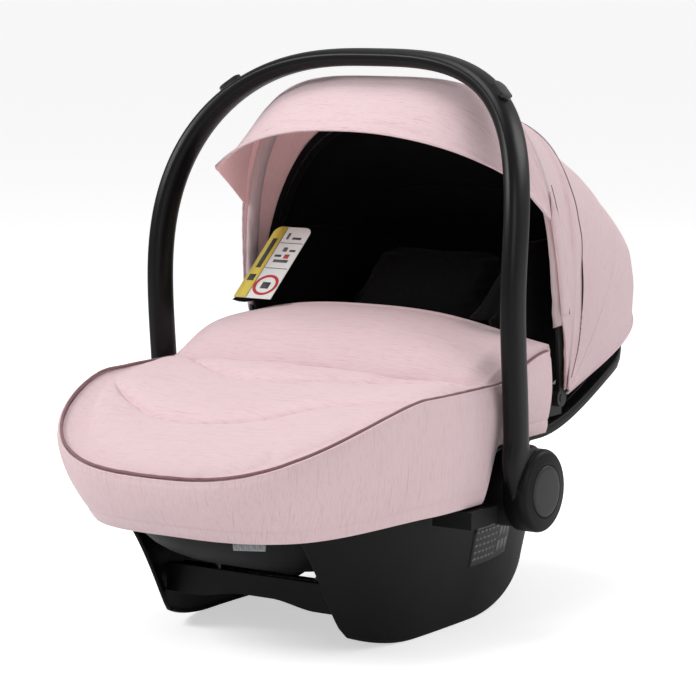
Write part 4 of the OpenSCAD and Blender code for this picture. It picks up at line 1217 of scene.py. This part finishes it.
def make_tag():
    """Sewn tag on the left wing: a yellow band, a white field, dividers and a plain red ring."""
    along = Vector((0, cos(WING_LEAN), sin(WING_LEAN)))
    lift = Vector((0, -sin(WING_LEAN), cos(WING_LEAN)))
    start = Vector((1 - WING_HALF_W - WING_T, WING_Y, WING_FOOT_Z))

    def at(a, w, out=0.0):
        """Point of the tag, a along the wing's edge, w across it towards the middle."""
        return start + Vector((w, 0, 0)) + a * along + (1.2 + out) * lift

    def printed_on(name, outline, material):
        finish_piece(name, slab(outline, 0.25, lift), [material])

    def patch(name, a0, a1, w0, w1, out, material):
        printed_on(name, [at(a0, w0, out), at(a1, w0, out), at(a1, w1, out), at(a0, w1, out)], material)

    def field(w0, w1, corners, out, a0=2.0, a1=106.0):
        """Outline of a field between w0 and w1, with the given radii at its two far corners."""
        ends = []
        for w, r, turn in ((w0, corners[0], 1), (w1, corners[1], -1)):
            arc = [(a1 - r + r * cos(t), w + turn * (r - r * sin(t))) for t in range(90, -1, -15)]
            arc = arc if r else [(a1, w)]
            ends += arc if turn > 0 else arc[::-1]
        return [at(a0, w0, out)] + [at(a, w, out) for a, w in ends] + [at(a0, w1, out)]

    tag = finish_piece("sewn_tag", slab(field(0, 47, (9, 9), -0.8), 0.8, lift), [label_white],
                       ["warning_tag"])
    soften(tag, 0.2, 2)
    printed_on("tag_yellow_band", field(0.5, 15.5, (8.5, 0), 0), label_yellow)
    patch("tag_dark_bar", 45, 88, 5.5, 11, 0.2, label_ink)
    patch("tag_dark_block", 26, 35, 4, 12, 0.2, label_ink)
    for index, a in enumerate((45, 82)):
        patch("tag_divider_" + str(index + 1), a, a + 0.7, 17.5, 45.5, 0, label_ink)
    patch("tag_divider_3", 3, 104, 15.6, 16.1, 0, label_ink)
    marks = ((54, 58, 22, 40), (62, 65, 20, 28), (70, 76, 26, 31), (70, 73, 35, 42), (88, 97, 21, 24),
             (88, 91, 29, 40))
    for index, (a0, a1, w0, w1) in enumerate(marks):
        patch("tag_mark_" + str(index + 1), a0, a1, w0, w1, 0, label_ink if index % 2 else label_mark)
    patch("tag_red_mark_1", 60, 66, 32, 38, 0, label_red)
    patch("tag_dark_mark", 16, 25, 26, 36, 0, label_ink)

    def ring(u, v):
        angle, turn = 360 * u, 360 * v
        r = 13.0 + 1.7 * cos(turn)
        return at(21 + r * cos(angle), 31 + r * sin(angle), 0.3 + 0.3 * sin(turn))

    bm = laid_grid(ring, (48, 8), (60, 6), seam=True)
    finish_piece("tag_red_ring", bm, [label_red])


def make_pull_strap():
    """Grey webbing loop that hangs inside the skirt's hem at the foot end."""
    bm = copied_node("adjuster_strap")
    made = finish_piece("pull_strap_loop", bm, [grey_webbing], ["adjuster_strap"], crease=45)
    soften(made, 0.5, 2, 40)


# ---- Carried-over nodes ----

def dress_nodes():
    """Better materials on the CAD nodes that stay."""
    looks = (
        (shell_black, ("pivot_boss", "adapter_socket", "belt_hook")),
        (steel, ("ratchet_ring", "latch_bar", "pivot_bolt", "lock_slider", "lock_spring", "base_screws",
                 "buckle_tongue", "yoke_plate")),
        (bow_black, ("canopy_pivot", "front_bow", "mid_bow")),
        (black_webbing, ("shoulder_strap", "crotch_strap")),
        (hub_black, ("buckle_body", "adjuster_housing")),
        (buckle_red, ("buckle_button",)),
        (button_black, ("adjuster_button",)),
    )
    for name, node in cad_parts.items():
        for material, starts in looks:
            if name.startswith(starts):
                for face_slot in node.material_slots:
                    face_slot.material = material


make_bucket_shell()
make_rocker_base()
make_cross_walls()
make_data_label()
make_handle()
for hand in (1, -1):
    make_release_button(hand)
    make_hub(hand)
make_canopy_front()
make_canopy_rear()
make_side_seams()
make_visor()
make_bow_sleeves()
make_edge_bands()
make_hem_binding()
make_boot_top()
make_boot_skirt()
make_boot_piping()
make_chest_flap()
make_seat()
make_headrest()
make_cushions()
make_tag()
make_pull_strap()
dress_nodes()
